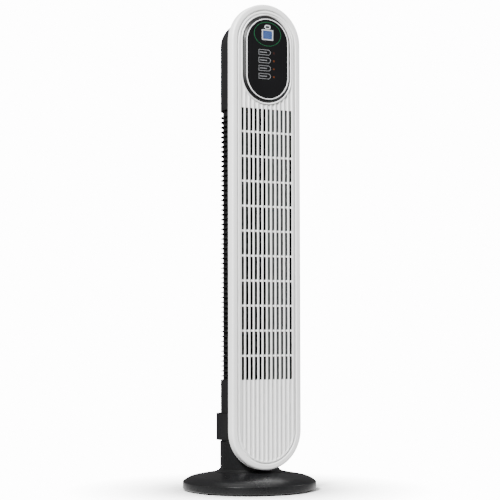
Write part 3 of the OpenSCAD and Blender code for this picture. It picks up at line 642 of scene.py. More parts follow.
def lit(name, colour, glow, rough=(0.12, 0.2), pattern=0.25):
    """A small lit window: its light is a little uneven."""
    made, tree, shader = start_material(name)
    uneven = spread(tree, noise(tree, object_coords(tree), 160.0, 3.0), 0.3, 0.7, 1.0 - pattern, 1.0)
    shown = dimmed(tree, colour, uneven)
    shade(tree, shader, shown, rough, None, 0.0, 0.05, 0.03, 0.1)
    tree.links.new(shown, shader.inputs["Emission Color"])
    shader.inputs["Emission Strength"].default_value = glow
    return made


def board_material(name):
    """Green solder mask with copper runs and pads."""
    made, tree, shader = start_material(name)
    at = object_coords(tree)
    runs = add(tree, "ShaderNodeTexBrick", {"Vector": at, "Scale": 160.0, "Mortar Size": 0.06})
    runs.offset = 0.37
    copper = spread(tree, runs.outputs[1], 0.4, 0.6, 0.0, 1.0)
    spots = add(tree, "ShaderNodeTexVoronoi", {"Vector": at, "Scale": 420.0}).outputs["Distance"]
    pads = spread(tree, spots, 0.16, 0.2, 1.0, 0.0)
    mask = mix_colour(tree, copper, (0.015, 0.12, 0.05), (0.03, 0.22, 0.09))
    shade(tree, shader, mix_colour(tree, pads, mask, (0.62, 0.6, 0.52)), (0.28, 0.4), copper, 0.03, 0.15)
    return made


def lamination_material(name):
    """Stacked steel sheets, seen as fine lines round the stack."""
    made, tree, shader = start_material(name)
    sheets = add(tree, "ShaderNodeTexWave",
                 {"Vector": object_coords(tree), "Scale": 320.0, "Distortion": 0.2, "Detail": 1.0},
                 bands_direction="Z").outputs[1]
    steel = mix_colour(tree, sheets, (0.10, 0.095, 0.09), (0.24, 0.23, 0.22))
    shade(tree, shader, steel, (0.4, 0.55), sheets, 0.05, 0.1)
    shader.inputs["Metallic"].default_value = 0.85
    return made


DISPLAY_GLOW = 0.25


def display_material(name, colour):
    """Lit panel with its grid of fine picture elements."""
    made, tree, shader = start_material(name)
    at = object_coords(tree)
    grid = None
    for direction in ("X", "Z"):
        wave = add(tree, "ShaderNodeTexWave", {"Vector": at, "Scale": 330.0}, bands_direction=direction)
        lines = spread(tree, wave.outputs[1], 0.02, 0.2, 0.82, 1.0)
        grid = lines if grid is None else maths(tree, "MULTIPLY", grid, lines)
    cloud = spread(tree, noise(tree, at, 120.0, 3.0), 0.3, 0.7, 0.8, 1.1)
    shown = dimmed(tree, colour, maths(tree, "MULTIPLY", grid, cloud))
    shade(tree, shader, shown, (0.16, 0.24), grid, 0.004, 0.03, 0.02, 0.1)
    tree.links.new(shown, shader.inputs["Emission Color"])
    shader.inputs["Emission Strength"].default_value = DISPLAY_GLOW
    return made


def colours():
    return bpy.context.scene.tower_fan_colours


FINISHES = {
    "gloss_black": lambda n: plastic(n, colours().black, (0.26, 0.36), grain=1500.0, ripple=0.5,
                                     depth=0.006, dust=0.012, tint=0.1, scratches=0.2, specular=0.25),
    "matt_black": lambda n: plastic(n, colours().black, (0.42, 0.54), grain=1100.0, ripple=0.2, depth=0.02,
                                    dust=0.012, tint=0.1, scratches=0.1, specular=0.3),
    "white_plastic": lambda n: plastic(n, colours().white, (0.34, 0.46), grain=1300.0, ripple=0.4,
                                       depth=0.010, dust=0.04, tint=0.012, scratches=0.2),
    "grey_plastic": lambda n: plastic(n, colours().grey, (0.45, 0.58), grain=1000.0, depth=0.02, dust=0.08,
                                      tint=0.05, scratches=0.2),
    "steel_plate": lambda n: plastic(n, (0.05, 0.05, 0.052), (0.35, 0.5), grain=500.0, ripple=0.6,
                                     depth=0.05, dust=0.1, tint=0.15, scratches=0.6),
    "rubber_black": lambda n: plastic(n, (0.018, 0.018, 0.018), (0.7, 0.85), grain=600.0, ripple=0.5,
                                      depth=0.05, dust=0.2, tint=0.2, scratches=0.2),
    "zinc": lambda n: metal(n, (0.55, 0.56, 0.57), (0.28, 0.45)),
    "bright_steel": lambda n: metal(n, (0.66, 0.66, 0.67), (0.1, 0.22), stretch=(1.0, 1.0, 9.0)),
    "acetal": lambda n: plastic(n, (0.72, 0.69, 0.6), (0.35, 0.5), grain=800.0, ripple=0.4, depth=0.015,
                                dust=0.1, tint=0.04, scratches=0.3),
    "motor_case": lambda n: metal(n, (0.6, 0.61, 0.62), (0.35, 0.5), stretch=(1.0, 1.0, 4.0), depth=0.03),
    "laminations": lamination_material,
    "bronze": lambda n: metal(n, (0.55, 0.37, 0.18), (0.3, 0.5)),
    "circuit_board": board_material,
    "trim_silver": lambda n: plastic(n, colours().trim, (0.16, 0.26), grain=1500.0, depth=0.003, dust=0.03,
                                     tint=0.02, scratches=0.1, coat=0.6),
    "lens_black": lambda n: plastic(n, colours().lens, (0.10, 0.18), grain=1500.0, ripple=0.6, depth=0.002,
                                    dust=0.0, tint=0.1, scratches=0.08),
    "key_black": lambda n: plastic(n, colours().lens, (0.10, 0.18), grain=1500.0, ripple=0.6, depth=0.002,
                                   dust=0.0, tint=0.1, scratches=0.1),
    "print_white": lambda n: plastic(n, (0.42, 0.43, 0.46), (0.3, 0.42), grain=1500.0, ripple=0.2,
                                     depth=0.004, dust=0.02, tint=0.05, scratches=0.1),
    # Grey of the keys' printed outlines and bars, and of the painted glint stroke on each bar.
    "key_print": lambda n: plastic(n, (0.16, 0.163, 0.17), (0.3, 0.42), grain=1500.0, ripple=0.2,
                                   depth=0.004, dust=0.02, tint=0.1, scratches=0.1),
    "display_blue": lambda n: display_material(n, colours().display),
    "display_pale": lambda n: display_material(n, (0.055, 0.095, 0.23)),
    "light_green": lambda n: lit(n, colours().ring, 0.3),
    "light_amber": lambda n: lit(n, colours().indicator, 0.3),
    "light_faint": lambda n: lit(n, (0.025, 0.010, 0.008), 0.05),
}
MADE = {}


def material(name):
    """A finish by its name, made once."""
    if name not in MADE:
        MADE[name] = FINISHES[name](name)
    return MADE[name]


# ---- properties ----

class FanSizes(bpy.types.PropertyGroup):
    rim_height: FloatProperty(name="Rim height", description="Upright wall round the base",
                              default=16.6)
    shoulder: FloatProperty(name="Shoulder", description="Width of the base's rounded shoulder",
                            default=26.0)
    shoulder_slope: FloatProperty(name="Shoulder slope",
                                  description="Slope where the shoulder meets the rim, in degrees",
                                  default=42.0)
    dome_slope: FloatProperty(name="Dome slope", description="Slope of the base's dome, in degrees",
                              default=10.35)
    foot_count: IntProperty(name="Feet", description="Number of rubber feet", default=10)
    fin_count: IntProperty(name="Fins", description="Number of intake fins", default=54)
    fin_pitch: FloatProperty(name="Fin pitch", description="Distance between fins, in mm", default=11.1)
    fin_droop: FloatProperty(name="Fin droop",
                             description="How far a fin's edge hangs below its root, in mm",
                             default=1.6)
    slot_columns: IntProperty(name="Slot columns", description="Slots across the grille", default=12)
    slot_rows: IntProperty(name="Slot rows", description="Rows of slots", default=11)
    slot_pitch: FloatProperty(name="Slot pitch", description="Distance between columns, in mm",
                              default=11.05)
    row_pitch: FloatProperty(name="Row pitch", description="Distance between rows, in mm",
                             default=55.14)
    slot_width: FloatProperty(name="Slot width", description="Width of a slot, in mm", default=7.0)
    crossbar: FloatProperty(name="Crossbar", description="Height of a bar between rows, in mm",
                            default=4.0)
    slot_start: FloatProperty(name="First slot", description="First slot above the panel's end, in mm",
                              default=197.2)
    rib_height: FloatProperty(name="Rib height", description="How far the ribs stand out, in mm",
                              default=2.2)
    rib_round: FloatProperty(name="Rib rounding", description="Rounding of a rib's two edges, in mm",
                             default=1.9)
    border: FloatProperty(name="Border", description="Width of the frame round the ribs, in mm",
                          default=3.6)
    blade_count: IntProperty(name="Blades", description="Blades of the rotor", default=36)
    segment_count: IntProperty(name="Segments", description="Segments of the rotor", default=8)


class FanColours(bpy.types.PropertyGroup):
    black: FloatVectorProperty(name="Black", description="Housing, neck and base",
                               subtype="COLOR", default=(0.0052, 0.0052, 0.0056))
    white: FloatVectorProperty(name="White", description="Front panel and grille",
                               subtype="COLOR", default=(0.80, 0.80, 0.795))
    # Darker than the duct's own grey plastic: painted shade of the duct seen through the slots.
    grey: FloatVectorProperty(name="Grey", description="Guard plate behind the slots",
                              subtype="COLOR", default=(0.07, 0.072, 0.075))
    trim: FloatVectorProperty(name="Trim", description="Bright ring round the lens",
                              subtype="COLOR", default=(0.86, 0.86, 0.87))
    lens: FloatVectorProperty(name="Lens", description="Control lens and keys",
                              subtype="COLOR", default=(0.0045, 0.0045, 0.005))
    display: FloatVectorProperty(name="Display", description="Lit display",
                                 subtype="COLOR", default=(0.034, 0.062, 0.165))
    ring: FloatVectorProperty(name="Light ring", description="Light ring round the display",
                              subtype="COLOR", default=(0.012, 0.10, 0.04))
    indicator: FloatVectorProperty(name="Indicators", description="Indicator lights",
                                   subtype="COLOR", default=(0.13, 0.034, 0.010))


def sizes():
    return bpy.context.scene.tower_fan_sizes


# ---- pieces ----

class FAN_OT_base(bpy.types.Operator):
    """Round base with its rim, shoulder and low dome"""
    bl_idname = "tower_fan.base"
    bl_label = "Base"

    def execute(self, context):
        s = sizes()
        rim_top = BASE_LOW + s.rim_height
        a0, a1 = math.radians(s.shoulder_slope), math.radians(s.dome_slope)
        r = s.shoulder / (math.sin(a0) - math.sin(a1))
        bends = 12

        def shoulder(i, inset):
            a = a0 + (a1 - a0) * i / bends
            return (BASE_R - r * (math.sin(a0) - math.sin(a)) - inset * math.sin(a),
                    rim_top + r * (math.cos(a) - math.cos(a0)) - inset * math.cos(a))

        def dome(radius):
            x, z = shoulder(bends, 0)
            return z + (x - radius) * math.tan(a1)

        wall, socket, hole, seat = 2.6, NECK_R + 4, 46, NECK_LOW
        edge = arc(BASE_R - 0.9, rim_top - 0.45, 0.9, 0, 60, 4)
        section = ([(BASE_R - 1.6, BASE_LOW), (BASE_R, BASE_LOW + 1.6)] + edge
                   + [shoulder(i, 0) for i in range(1, bends + 1)]
                   + [(socket + 18 * k, dome(socket + 18 * k)) for k in (2, 1)]
                   + [(socket + 0.5, dome(socket)), (socket, dome(socket) - 0.5), (socket, seat),
                      (hole, seat), (hole, seat - 3), (socket + wall, seat - 3),
                      (socket + wall, dome(socket + wall) - wall / math.cos(a1))]
                   + [shoulder(i, wall) for i in range(bends, 1, -1)]
                   + [(BASE_R - wall, shoulder(2, wall)[1] - 1), (BASE_R - wall, BASE_LOW)])
        boss_low, boss_top, boss_bore = BASE_LOW + 3.2, 26, 1.9
        boss = lathe([(boss_bore, boss_low), (BOSS_R, boss_low), (BOSS_R, boss_top),
                      (boss_bore, boss_top)], 24)
        parts = [lathe(section, 160)]
        out = Matrix.Translation((BASE_R - SCREW_INSET, 0, 0))
        for i in range(BASE_SCREWS):
            turn = Matrix.Rotation(math.radians((i + 0.5) * 360 / BASE_SCREWS), 4, "Z")
            parts.append(turned(boss, turn @ out))
        piece("base_dome", parts, "gloss_black", "base", ["base_cover"])
        finish_nodes("steel_plate", "base_plate")
        return {"FINISHED"}


class FAN_OT_feet(bpy.types.Operator):
    """Rubber feet under the base"""
    bl_idname = "tower_fan.feet"
    bl_label = "Feet"

    def execute(self, context):
        top, r = high("base_feet").z, 7.0
        section = [(0.01, 0.5), (3.6, 0.5), (4.0, 0.0), (5.9, 0.0), (6.4, 0.25), (r - 0.25, top - 0.5),
                   (r, top), (0.01, top)]
        foot = solid("rubber_feet", [lathe(section, 32, (0, low("base_feet").y + r))])
        in_ring(foot, sizes().foot_count, "rubber_black")
        finish_piece(foot, "rubber_black", "base", ["base_feet"])
        return {"FINISHED"}


def screw_part(r, length, head_r, head_h):
    """A screw that points along +Z from 0, with a domed cross-recessed head below it."""
    dome = arc(0, 0, head_h, 270, 350, 6)
    section = ([(0.01, -head_h)] + [(head_r * (0.15 + 0.85 * x / head_h), z) for x, z in dome]
               + [(head_r, 0), (r, 0.01)])
    pitch, groove = 0.8, 0.28
    z = pitch
    while z < length - 1.2:
        section += [(r, z), (r - groove, z + pitch * 0.3), (r - groove, z + pitch * 0.5),
                    (r, z + pitch * 0.8)]
        z += pitch
    return lathe(section + [(r, length - 0.8), (r * 0.5, length), (0.01, length)], 28)


def screw(name, r, length, head_r, head_h):
    """A screw with the recess for a cross-tip screwdriver, whose two bars overlap and are cut in turn."""
    obj = solid(name, [screw_part(r, length, head_r, head_h)])
    long, wide, deep = head_r * 0.62, 0.42, head_h * 0.75
    for across, along in ((long, wide), (wide, long)):
        cut(obj, [block(-across, -along, -head_h - OVER, across, along, -head_h + deep, 0.15)])
    return obj


class FAN_OT_screws(bpy.types.Operator):
    """Cross-head screws under the base, in the neck and in the back of the housing"""
    bl_idname = "tower_fan.screws"
    bl_label = "Screws"

    def execute(self, context):
        # name, node, (shank radius, length, head radius, head height), circle radius, level, count
        for name, node, shape, ring_r, head_z, count in (
                ("base_plate_screws", "base_screws", (1.95, 13, 3.8, 1.9), BASE_R - SCREW_INSET, BASE_LOW,
                 BASE_SCREWS),
                ("neck_fixing_screws", "neck_screws", (2.45, 8, 5.0, 2.9), NECK_R - 10, NECK_LOW - 3, 4)):
            obj = screw(name, *shape)
            obj.data.transform(Matrix.Translation((ring_r * MM, 0, head_z * MM)))
            in_ring(obj, count, "zinc", start=180 / count)
            finish_piece(obj, "zinc", "base", [node])
        lo, hi = low("housing_screws"), high("housing_screws")
        places = [Matrix.Translation((x * MM, (REAR_Y - SINK) * MM, z * MM)) for x, z in (
            (0, hi.z - HEAD_R), (0, COLLAR_TOP + 1 + (FINS_LOW - COLLAR_TOP - 1) / 2),
            (hi.x - HEAD_R, lo.z + HEAD_R), (lo.x + HEAD_R, lo.z + HEAD_R))]
        obj = screw("housing_back_screws", SHANK_R, 9, HEAD_R, HEAD_H)
        obj.data.transform(Matrix.Rotation(math.radians(90), 4, "X"))
        others = []
        for place in places[1:]:
            other = obj.copy()
            other.data = obj.data.copy()
            other.data.transform(place)
            others.append(other)
        obj.data.transform(places[0])
        joined(obj, *others)
        finish_piece(obj, "zinc", "tower", ["housing_screws"])
        return {"FINISHED"}


class FAN_OT_neck(bpy.types.Operator):
    """Round neck and the flared ring at its foot"""
    bl_idname = "tower_fan.neck"
    bl_label = "Neck"

    def execute(self, context):
        top, r, bore, edge = NECK_TOP, NECK_R, 16.45, 1.2
        inside, flange = r - 3, r - 14
        section = ([(flange, NECK_LOW), (r, NECK_LOW)] + arc(r - edge, top - edge, edge, 0, 90, 5)
                   + [(bore, top), (bore, top - 3.2), (inside, top - 3.2), (inside, NECK_LOW + 5),
                      (flange, NECK_LOW + 5)])
        piece("neck_column", [lathe(section, 144)], "gloss_black", "base", ["neck"])
        lo, hi = low("neck_ring"), high("neck_ring")
        ring_r = -lo.x
        crown = high("base_cover").z - (ring_r - r - 4) * math.tan(math.radians(sizes().dome_slope))
        lip, bends = 1.4, 6
        rise = hi.z - crown - lip
        flare = [(r + 0.05, hi.z), (r + 0.9, hi.z)]
        for i in range(1, bends + 1):
            t = i / bends
            flare.append((r + 0.9 + (ring_r - r - 1.9) * t, crown + lip + rise * (1 - t) ** 1.8))
        section = flare + [(ring_r - 0.35, crown + lip - 0.1), (ring_r, crown + lip - 0.5),
                           (ring_r, crown + 0.05), (r + 3.8, high("base_cover").z + 0.05),
                           (r + 3.8, lo.z), (r + 0.05, lo.z)]
        tab = turned(block(ring_r - 2, -5, crown + 0.1, ring_r + 4.8, 5, crown + lip - 0.2, 1.2),
                     Matrix.Rotation(math.radians(-30), 4, "Z"))
        piece("neck_foot_ring", [lathe(section, 144), tab], "gloss_black", "base", ["neck_ring"])
        return {"FINISHED"}


class FAN_OT_swing_drive(bpy.types.Operator):
    """Finishes of the swing bearing, its gears, the boards, the duct and the fan motor"""
    bl_idname = "tower_fan.swing_drive"
    bl_label = "Inner works"

    def execute(self, context):
        finish_nodes("acetal", "swing_gear", "swing_pinion", "bearing_cage")
        finish_nodes("bright_steel", "race_lower", "race_upper", "bearing_balls", "pivot_washer",
                     "motor_shaft", "impeller_axle")
        finish_nodes("zinc", "pivot_nut")
        finish_nodes("matt_black", "turntable", "front_carrier", "duct_floor", "duct_ceiling",
                     "duct_tongue", "key_switches", "intake_screen")
        finish_nodes("motor_case", "swing_motor", "motor_bracket", "motor_lower_bell", "motor_upper_bell")
        finish_nodes("laminations", "motor_stator", "motor_rotor")
        finish_nodes("bronze", "motor_bushes", "top_bearing")
        finish_nodes("rubber_black", "motor_dampers", "bearing_rubber")
        finish_nodes("circuit_board", "driver_board", "control_board")
        finish_nodes("white_plastic", "run_capacitor")
        # This grey holds painted shade of the duct behind the slots.
        finish_nodes("grey_plastic", "duct_scroll")
        return {"FINISHED"}


class FAN_OT_collar(bpy.types.Operator):
    """Collar that stands round the foot of the tower, with the cord's gland"""
    bl_idname = "tower_fan.collar"
    bl_label = "Collar"

    def execute(self, context):
        r, wall, z0, z1 = 32.0, 2.4, COLLAR_LOW, COLLAR_TOP
        foot = r - 7
        section = rounded([(r, z0), (r, z1), (r - wall, z1), (r - wall, z0 + wall), (foot, z0 + wall),
                           (foot, z0)], [1.1, 1.4, 0.4, 0.8, 0.3, 0.3], 4)
        seats = [(x, low("housing_screws").z + HEAD_R) for x in (-18, 18)]
        obj = solid("collar_shell", [shell(section, collar_path(r))]
                    + [back_boss(x, z, wall) for x, z in seats])
        gland = (low("cord_gland") + high("cord_gland")) / 2
        cut(obj, [rod_back(0, gland.z, 6, REAR_Y - 5, REAR_Y + OVER, 32)]
            + [back_sink(x, z) for x, z in seats])
        finish_piece(obj, "matt_black", "tower", ["collar"])
        y0 = low("cord_gland").y
        section = [(3.6, 0), (8, 0), (8, 2), (5.95, 2.05), (5.95, 4.35), (8.5, 4.4), (8.5, 5.4), (7.9, 6.3),
                   (4.6, 6.4), (3.6, 5.6)]
        points, faces = lathe(section, 40)
        rubber = solid("cord_bushing", [([(x, y0 + z, gland.z + y) for x, y, z in points], faces)])
        finish_piece(rubber, "rubber_black", "tower", ["cord_gland"])
        return {"FINISHED"}


class FAN_OT_shells(bpy.types.Operator):
    """Lower shell and rounded top cap of the housing"""
    bl_idname = "tower_fan.shells"
    bl_label = "Housing shells"

    def execute(self, context):
        wall, r = 2.2, BODY_R
        z0, z1 = low("lower_shell").z, high("lower_shell").z
        section = rounded([(r, z0), (r, z1), (r - wall, z1), (r - wall, z0)], [0.9, 0.5, 0.3, 0.3], 3)
        screw_z = (z0 + z1) / 2
        obj = solid("lower_housing", [shell(section, housing_path()), back_boss(0, screw_z, wall)])
        cut(obj, [back_sink(0, screw_z)])
        finish_piece(obj, "matt_black", "tower", ["lower_shell"])

        z0 = low("top_cap").z
        inner = r - wall
        section = ([(r - 0.5, z0), (r, z0 + 0.5), (r, z0 + 70)] + arc(0, CAP_C, r, 0, 90, 24)
                   + arc(0, CAP_C, inner, 90, 0, 24) + [(inner, z0)])
        screw_z = high("housing_screws").z - HEAD_R
        obj = solid("top_housing", [shell(section, housing_path(44)), back_boss(0, screw_z, wall)])
        cut(obj, [back_sink(0, screw_z)])
        finish_piece(obj, "matt_black", "tower", ["top_cap"])
        return {"FINISHED"}


class FAN_OT_intake(bpy.types.Operator):
    """Intake fins round the back of the housing, on their upright spines"""
    bl_idname = "tower_fan.intake"
    bl_label = "Intake fins"

    def execute(self, context):
        s = sizes()
        r, root = BODY_R, BODY_R - 5.4
        droop, half = s.fin_droop, 0.75
        section = ([(root, half + droop / 2), (r - 1.4, half + 0.15 - droop * 0.4)]
                   + arc(r - half, -droop * 0.5, half, 70, -70, 4)
                   + [(r - 1.4, -half - droop * 0.4), (root, -half + droop / 2)])
        first = FINS_LOW + 0.8 * s.fin_pitch
        fin = solid("intake_fins", [shell([(a, first + z) for a, z in section], housing_path(36, 1))])
        in_row(fin, s.fin_count, (0, 0, s.fin_pitch), "matt_black")
        finish_piece(fin, "matt_black", "tower", ["intake_grille"], smooth=50)
        thick = 2.4
        bar = solid("fin_spines", [block(root, -1, FINS_LOW, root + thick, 1, FINS_TOP, 0.4)])
        in_ring(bar, 5, "matt_black", sweep=225.0, centre=(0, BACK_C, 0))
        edge_bar = block(root, -PANEL_BACK, FINS_LOW, root + thick, -PANEL_BACK + 4, FINS_TOP, 0.4)
        joined(bar, solid("edge_bars", [turned(edge_bar, MIRROR), edge_bar]))
        finish_piece(bar, "matt_black", "tower")
        outer, inner = root - 0.1, root - 0.7
        plan = ([(outer, -PANEL_BACK)] + arc(0, BACK_C, outer, 0, 50, 10) + arc(0, BACK_C, inner, 50, 0, 10)
                + [(inner, -PANEL_BACK)])
        liner = upright(plan, FINS_LOW, FINS_TOP)
        piece("side_liners", [turned(liner, MIRROR), liner], "matt_black", "tower")
        return {"FINISHED"}


class FAN_OT_rotor(bpy.types.Operator):
    """Cross-flow rotor: curved blades between rings, with an end plate and a hub"""
    bl_idname = "tower_fan.rotor"
    bl_label = "Rotor"

    def execute(self, context):
        s = sizes()
        r, z0, z1 = ROTOR_R, ROTOR_LOW + 2, ROTOR_TOP
        lean, reach, thick = 22, 8.4, 1.2
        blade_in = r - 9
        front, back, bends = [], [], 6
        for i in range(bends + 1):
            t = i / bends
            a = math.radians(-lean * t * t / 2)
            x = blade_in + t * reach
            front.append((x * math.cos(a), x * math.sin(a)))
            back.append((x * math.cos(a) - thick * math.sin(a), x * math.sin(a) + thick * math.cos(a)))
        blades = solid("rotor_blades", [upright(front + back[::-1], z0 + 2.5, z1 - 2.5)])
        in_ring(blades, s.blade_count, "matt_black", centre=(0, BACK_C, 0))
        finish_piece(blades, "matt_black", "rotor", ["impeller"])
        segment = (z1 - z0 - 6) / s.segment_count
        half, inner = 0.8, blade_in - 1
        section = rounded([(inner, -half), (r, -half), (r, half), (inner, half)], 0.3, 2)
        ring = solid("rotor_rings", [lathe(section, 72)])
        ring.data.transform(Matrix.Translation((0, BACK_C * MM, (z0 + 3 + segment) * MM)))
        in_row(ring, s.segment_count - 1, (0, 0, segment), "matt_black")
        finish_piece(ring, "matt_black", "rotor")
        centre = (0, BACK_C)
        hub, shaft, axle, plate = 12, 4.02, 3.02, 3
        bottom = lathe(rounded([(shaft, z0 - 2), (hub, z0 - 2), (hub, z0), (r, z0), (r, z0 + plate),
                                (hub, z0 + plate), (hub, z0 + 15), (shaft, z0 + 15)], 0.4, 2), 72, centre)
        top = lathe(rounded([(axle, z1 - plate), (r, z1 - plate), (r, z1), (axle, z1)], 0.3, 2), 72, centre)
        piece("rotor_ends", [bottom, top], "matt_black", "rotor")
        return {"FINISHED"}


class FAN_OT_front_panel(bpy.types.Operator):
    """White rim of the front, with its groove and ledge"""
    bl_idname = "tower_fan.front_panel"
    bl_label = "Front panel"

    def execute(self, context):
        f, b, r, back = PANEL_FRONT, PANEL_BACK, PANEL_R, GRILLE_BACK
        opening, ledge, wall, edge, lip = r - 13.5, r - 20.5, 2.5, 5, 2.6
        section = ([(r - 0.4, b), (r, b + 0.4), (r, b + 8)] + arc(r - edge, f - edge, edge, 0, 90, 12)
                   + [(opening + 4, f)] + arc(opening + lip, f - lip, lip, 90, 180, 8)
                   + [(opening, back), (ledge, back), (ledge, back - 2), (opening + wall, back - 2),
                      (opening + wall, f - wall), (r - edge, f - wall), (r - edge, back - 2),
                      (r - wall, back - 2),
                      (r - wall, b)])
        obj = solid("panel_rim", [front_ring(section, TOP_C, LOW_C, 64)])
        relief_r, relief_z = NECK_R + 1.5, LOW_C - r - 2
        relief = lathe([(0.01, relief_z), (relief_r, relief_z), (relief_r, COLLAR_LOW),
                        (0.01, COLLAR_LOW)], 96)
        cut(obj, [relief])
        finish_piece(obj, "white_plastic", "tower", ["front_panel"])
        return {"FINISHED"}


def ribs_tree():
    """Ribs side by side, each cut to length by the round ends of the grille and by the pod's opening."""
    tree, given = new_tree("grille_ribs", [
        ("Count", "NodeSocketInt", 11), ("Step", "NodeSocketFloat", 0.011),
        ("Edge Strips", "NodeSocketObject", None),
        ("Frame Radius", "NodeSocketFloat", 0.069), ("Top Centre", "NodeSocketFloat", 1.0),
        ("Low Centre", "NodeSocketFloat", 0.1), ("Pod Radius", "NodeSocketFloat", 0.0656),
        ("Pod Centre", "NodeSocketFloat", 0.9), ("Finish", "NodeSocketMaterial", None)])
    across = add(tree, "ShaderNodeCombineXYZ", {"X": given["Step"]}).outputs[0]
    line = add(tree, "GeometryNodeMeshLine", {"Count": given["Count"], "Offset": across}, mode="OFFSET")
    ribs = add(tree, "GeometryNodeInstanceOnPoints",
               {"Points": line.outputs[0], "Instance": given["Geometry"]})
    strips = add(tree, "GeometryNodeObjectInfo", {"Object": given["Edge Strips"]}).outputs["Geometry"]
    both = tree.nodes.new("GeometryNodeJoinGeometry")
    for part in (ribs.outputs[0], strips):
        tree.links.new(part, both.inputs[0])
    real = add(tree, "GeometryNodeRealizeInstances", {"Geometry": both.outputs[0]}).outputs[0]
    position = tree.nodes.new("GeometryNodeInputPosition").outputs[0]
    at = add(tree, "ShaderNodeSeparateXYZ", {0: position}).outputs
    x = maths(tree, "ABSOLUTE", at["X"])

    def reach(radius):
        """Half the height of a circle at this place across."""
        inside = maths(tree, "SUBTRACT", maths(tree, "MULTIPLY", radius, radius),
                       maths(tree, "MULTIPLY", x, x))
        return maths(tree, "SQRT", maths(tree, "MAXIMUM", inside, 0.0))

    foot = maths(tree, "SUBTRACT", given["Low Centre"], reach(given["Frame Radius"]))
    crown = maths(tree, "ADD", given["Top Centre"], reach(given["Frame Radius"]))
    under_pod = maths(tree, "SUBTRACT", given["Pod Centre"], reach(given["Pod Radius"]))
    beside = maths(tree, "GREATER_THAN", x, given["Pod Radius"])
    head = maths(tree, "ADD", maths(tree, "MULTIPLY", beside, crown),
                 maths(tree, "MULTIPLY", maths(tree, "SUBTRACT", 1.0, beside), under_pod))
    height = maths(tree, "ADD", foot, maths(tree, "MULTIPLY", at["Z"], maths(tree, "SUBTRACT", head, foot)))
    place = add(tree, "ShaderNodeCombineXYZ", {"X": at["X"], "Y": at["Y"], "Z": height}).outputs[0]
    trimmed = add(tree, "GeometryNodeSetPosition", {"Geometry": real, "Position": place})
    close_tree(tree, trimmed.outputs[0], given["Finish"])
    return tree


class FAN_OT_front_grille(bpy.types.Operator):
    """Slotted grille with its rounded ribs and border"""
    bl_idname = "tower_fan.front_grille"
    bl_label = "Front grille"

    def execute(self, context):
        s = sizes()
        f, b = PANEL_FRONT, GRILLE_BACK
        floor = f - s.rib_height
        half = (s.slot_pitch - s.slot_width) / 2
        pod_r = high("pod_surround").x - 0.6
        frame_r = GRILLE_R - s.border / 2
        edge = s.slot_pitch * s.slot_columns / 2 - half

        def strip(x0, x1, inner, outer):
            """A strip one metre high, which the tree brings to its own height."""
            root = -floor + 0.5
            plan = rounded([(x0, root), (x0, -f), (x1, -f), (x1, root)], [0, inner, outer, 0], 6)
            return upright(plan, 0.0, 1.0 / MM)

        first = -s.slot_pitch * (s.slot_columns / 2 - 1)
        ribs = solid("grille_ribs", [strip(first - half, first + half, s.rib_round, s.rib_round)])
        strips = [strip(edge, pod_r - 0.02, s.rib_round, 0), strip(pod_r + 0.02, frame_r, 0, 0)]
        strips += [turned(part, MIRROR) for part in strips]
        tool = solid("edge_tool", strips)
        run_tree(ribs, ribs_tree(), {
            "Count": s.slot_columns - 1, "Step": s.slot_pitch * MM, "Edge Strips": tool,
            "Frame Radius": frame_r * MM, "Top Centre": TOP_C * MM, "Low Centre": LOW_C * MM,
            "Pod Radius": pod_r * MM, "Pod Centre": POD_LOW_C * MM, "Finish": material("white_plastic")})
        discard(tool)

        foot = LOW_C - PANEL_R + s.slot_start
        z0, z1 = s.crossbar / 2, s.row_pitch - s.crossbar / 2
        opening = rounded([(0, z0), (s.slot_width, z0), (s.slot_width, z1), (0, z1)], 0.7, 2)
        slot = solid("slot_cutters", [front_plate([(x - edge, z + foot) for x, z in opening],
                                                  b - OVER, f + OVER)])
        in_row(slot, s.slot_columns, (s.slot_pitch, 0, 0), "white_plastic")
        in_row(slot, s.slot_rows, (0, 0, s.row_pitch), "white_plastic")
        plate_outline = stadium_outline(GRILLE_R - 0.5, TOP_C, LOW_C, 64)
        plate = solid("slotted_front", [front_plate(plate_outline, b, floor)])
        pod_outline = stadium_outline(pod_r, TOP_C, POD_LOW_C, 64)
        joined(slot, solid("pod_opening", [front_plate(pod_outline, b - 2, f + 2)]))
        subtract(plate, slot)
        inner = GRILLE_R - s.border
        back = b + 0.4
        border = rounded([(GRILLE_R, back), (GRILLE_R, f), (inner, f), (inner, floor - 0.6), (inner, back)],
                         [0, 2.0, 1.1, 0, 0], 6)
        frame_ring = solid("grille_border", [front_ring(border, TOP_C, LOW_C, 64)])
        joined(plate, ribs, frame_ring)
        finish_piece(plate, "white_plastic", "tower", ["front_grille"], smooth=40)
        return {"FINISHED"}


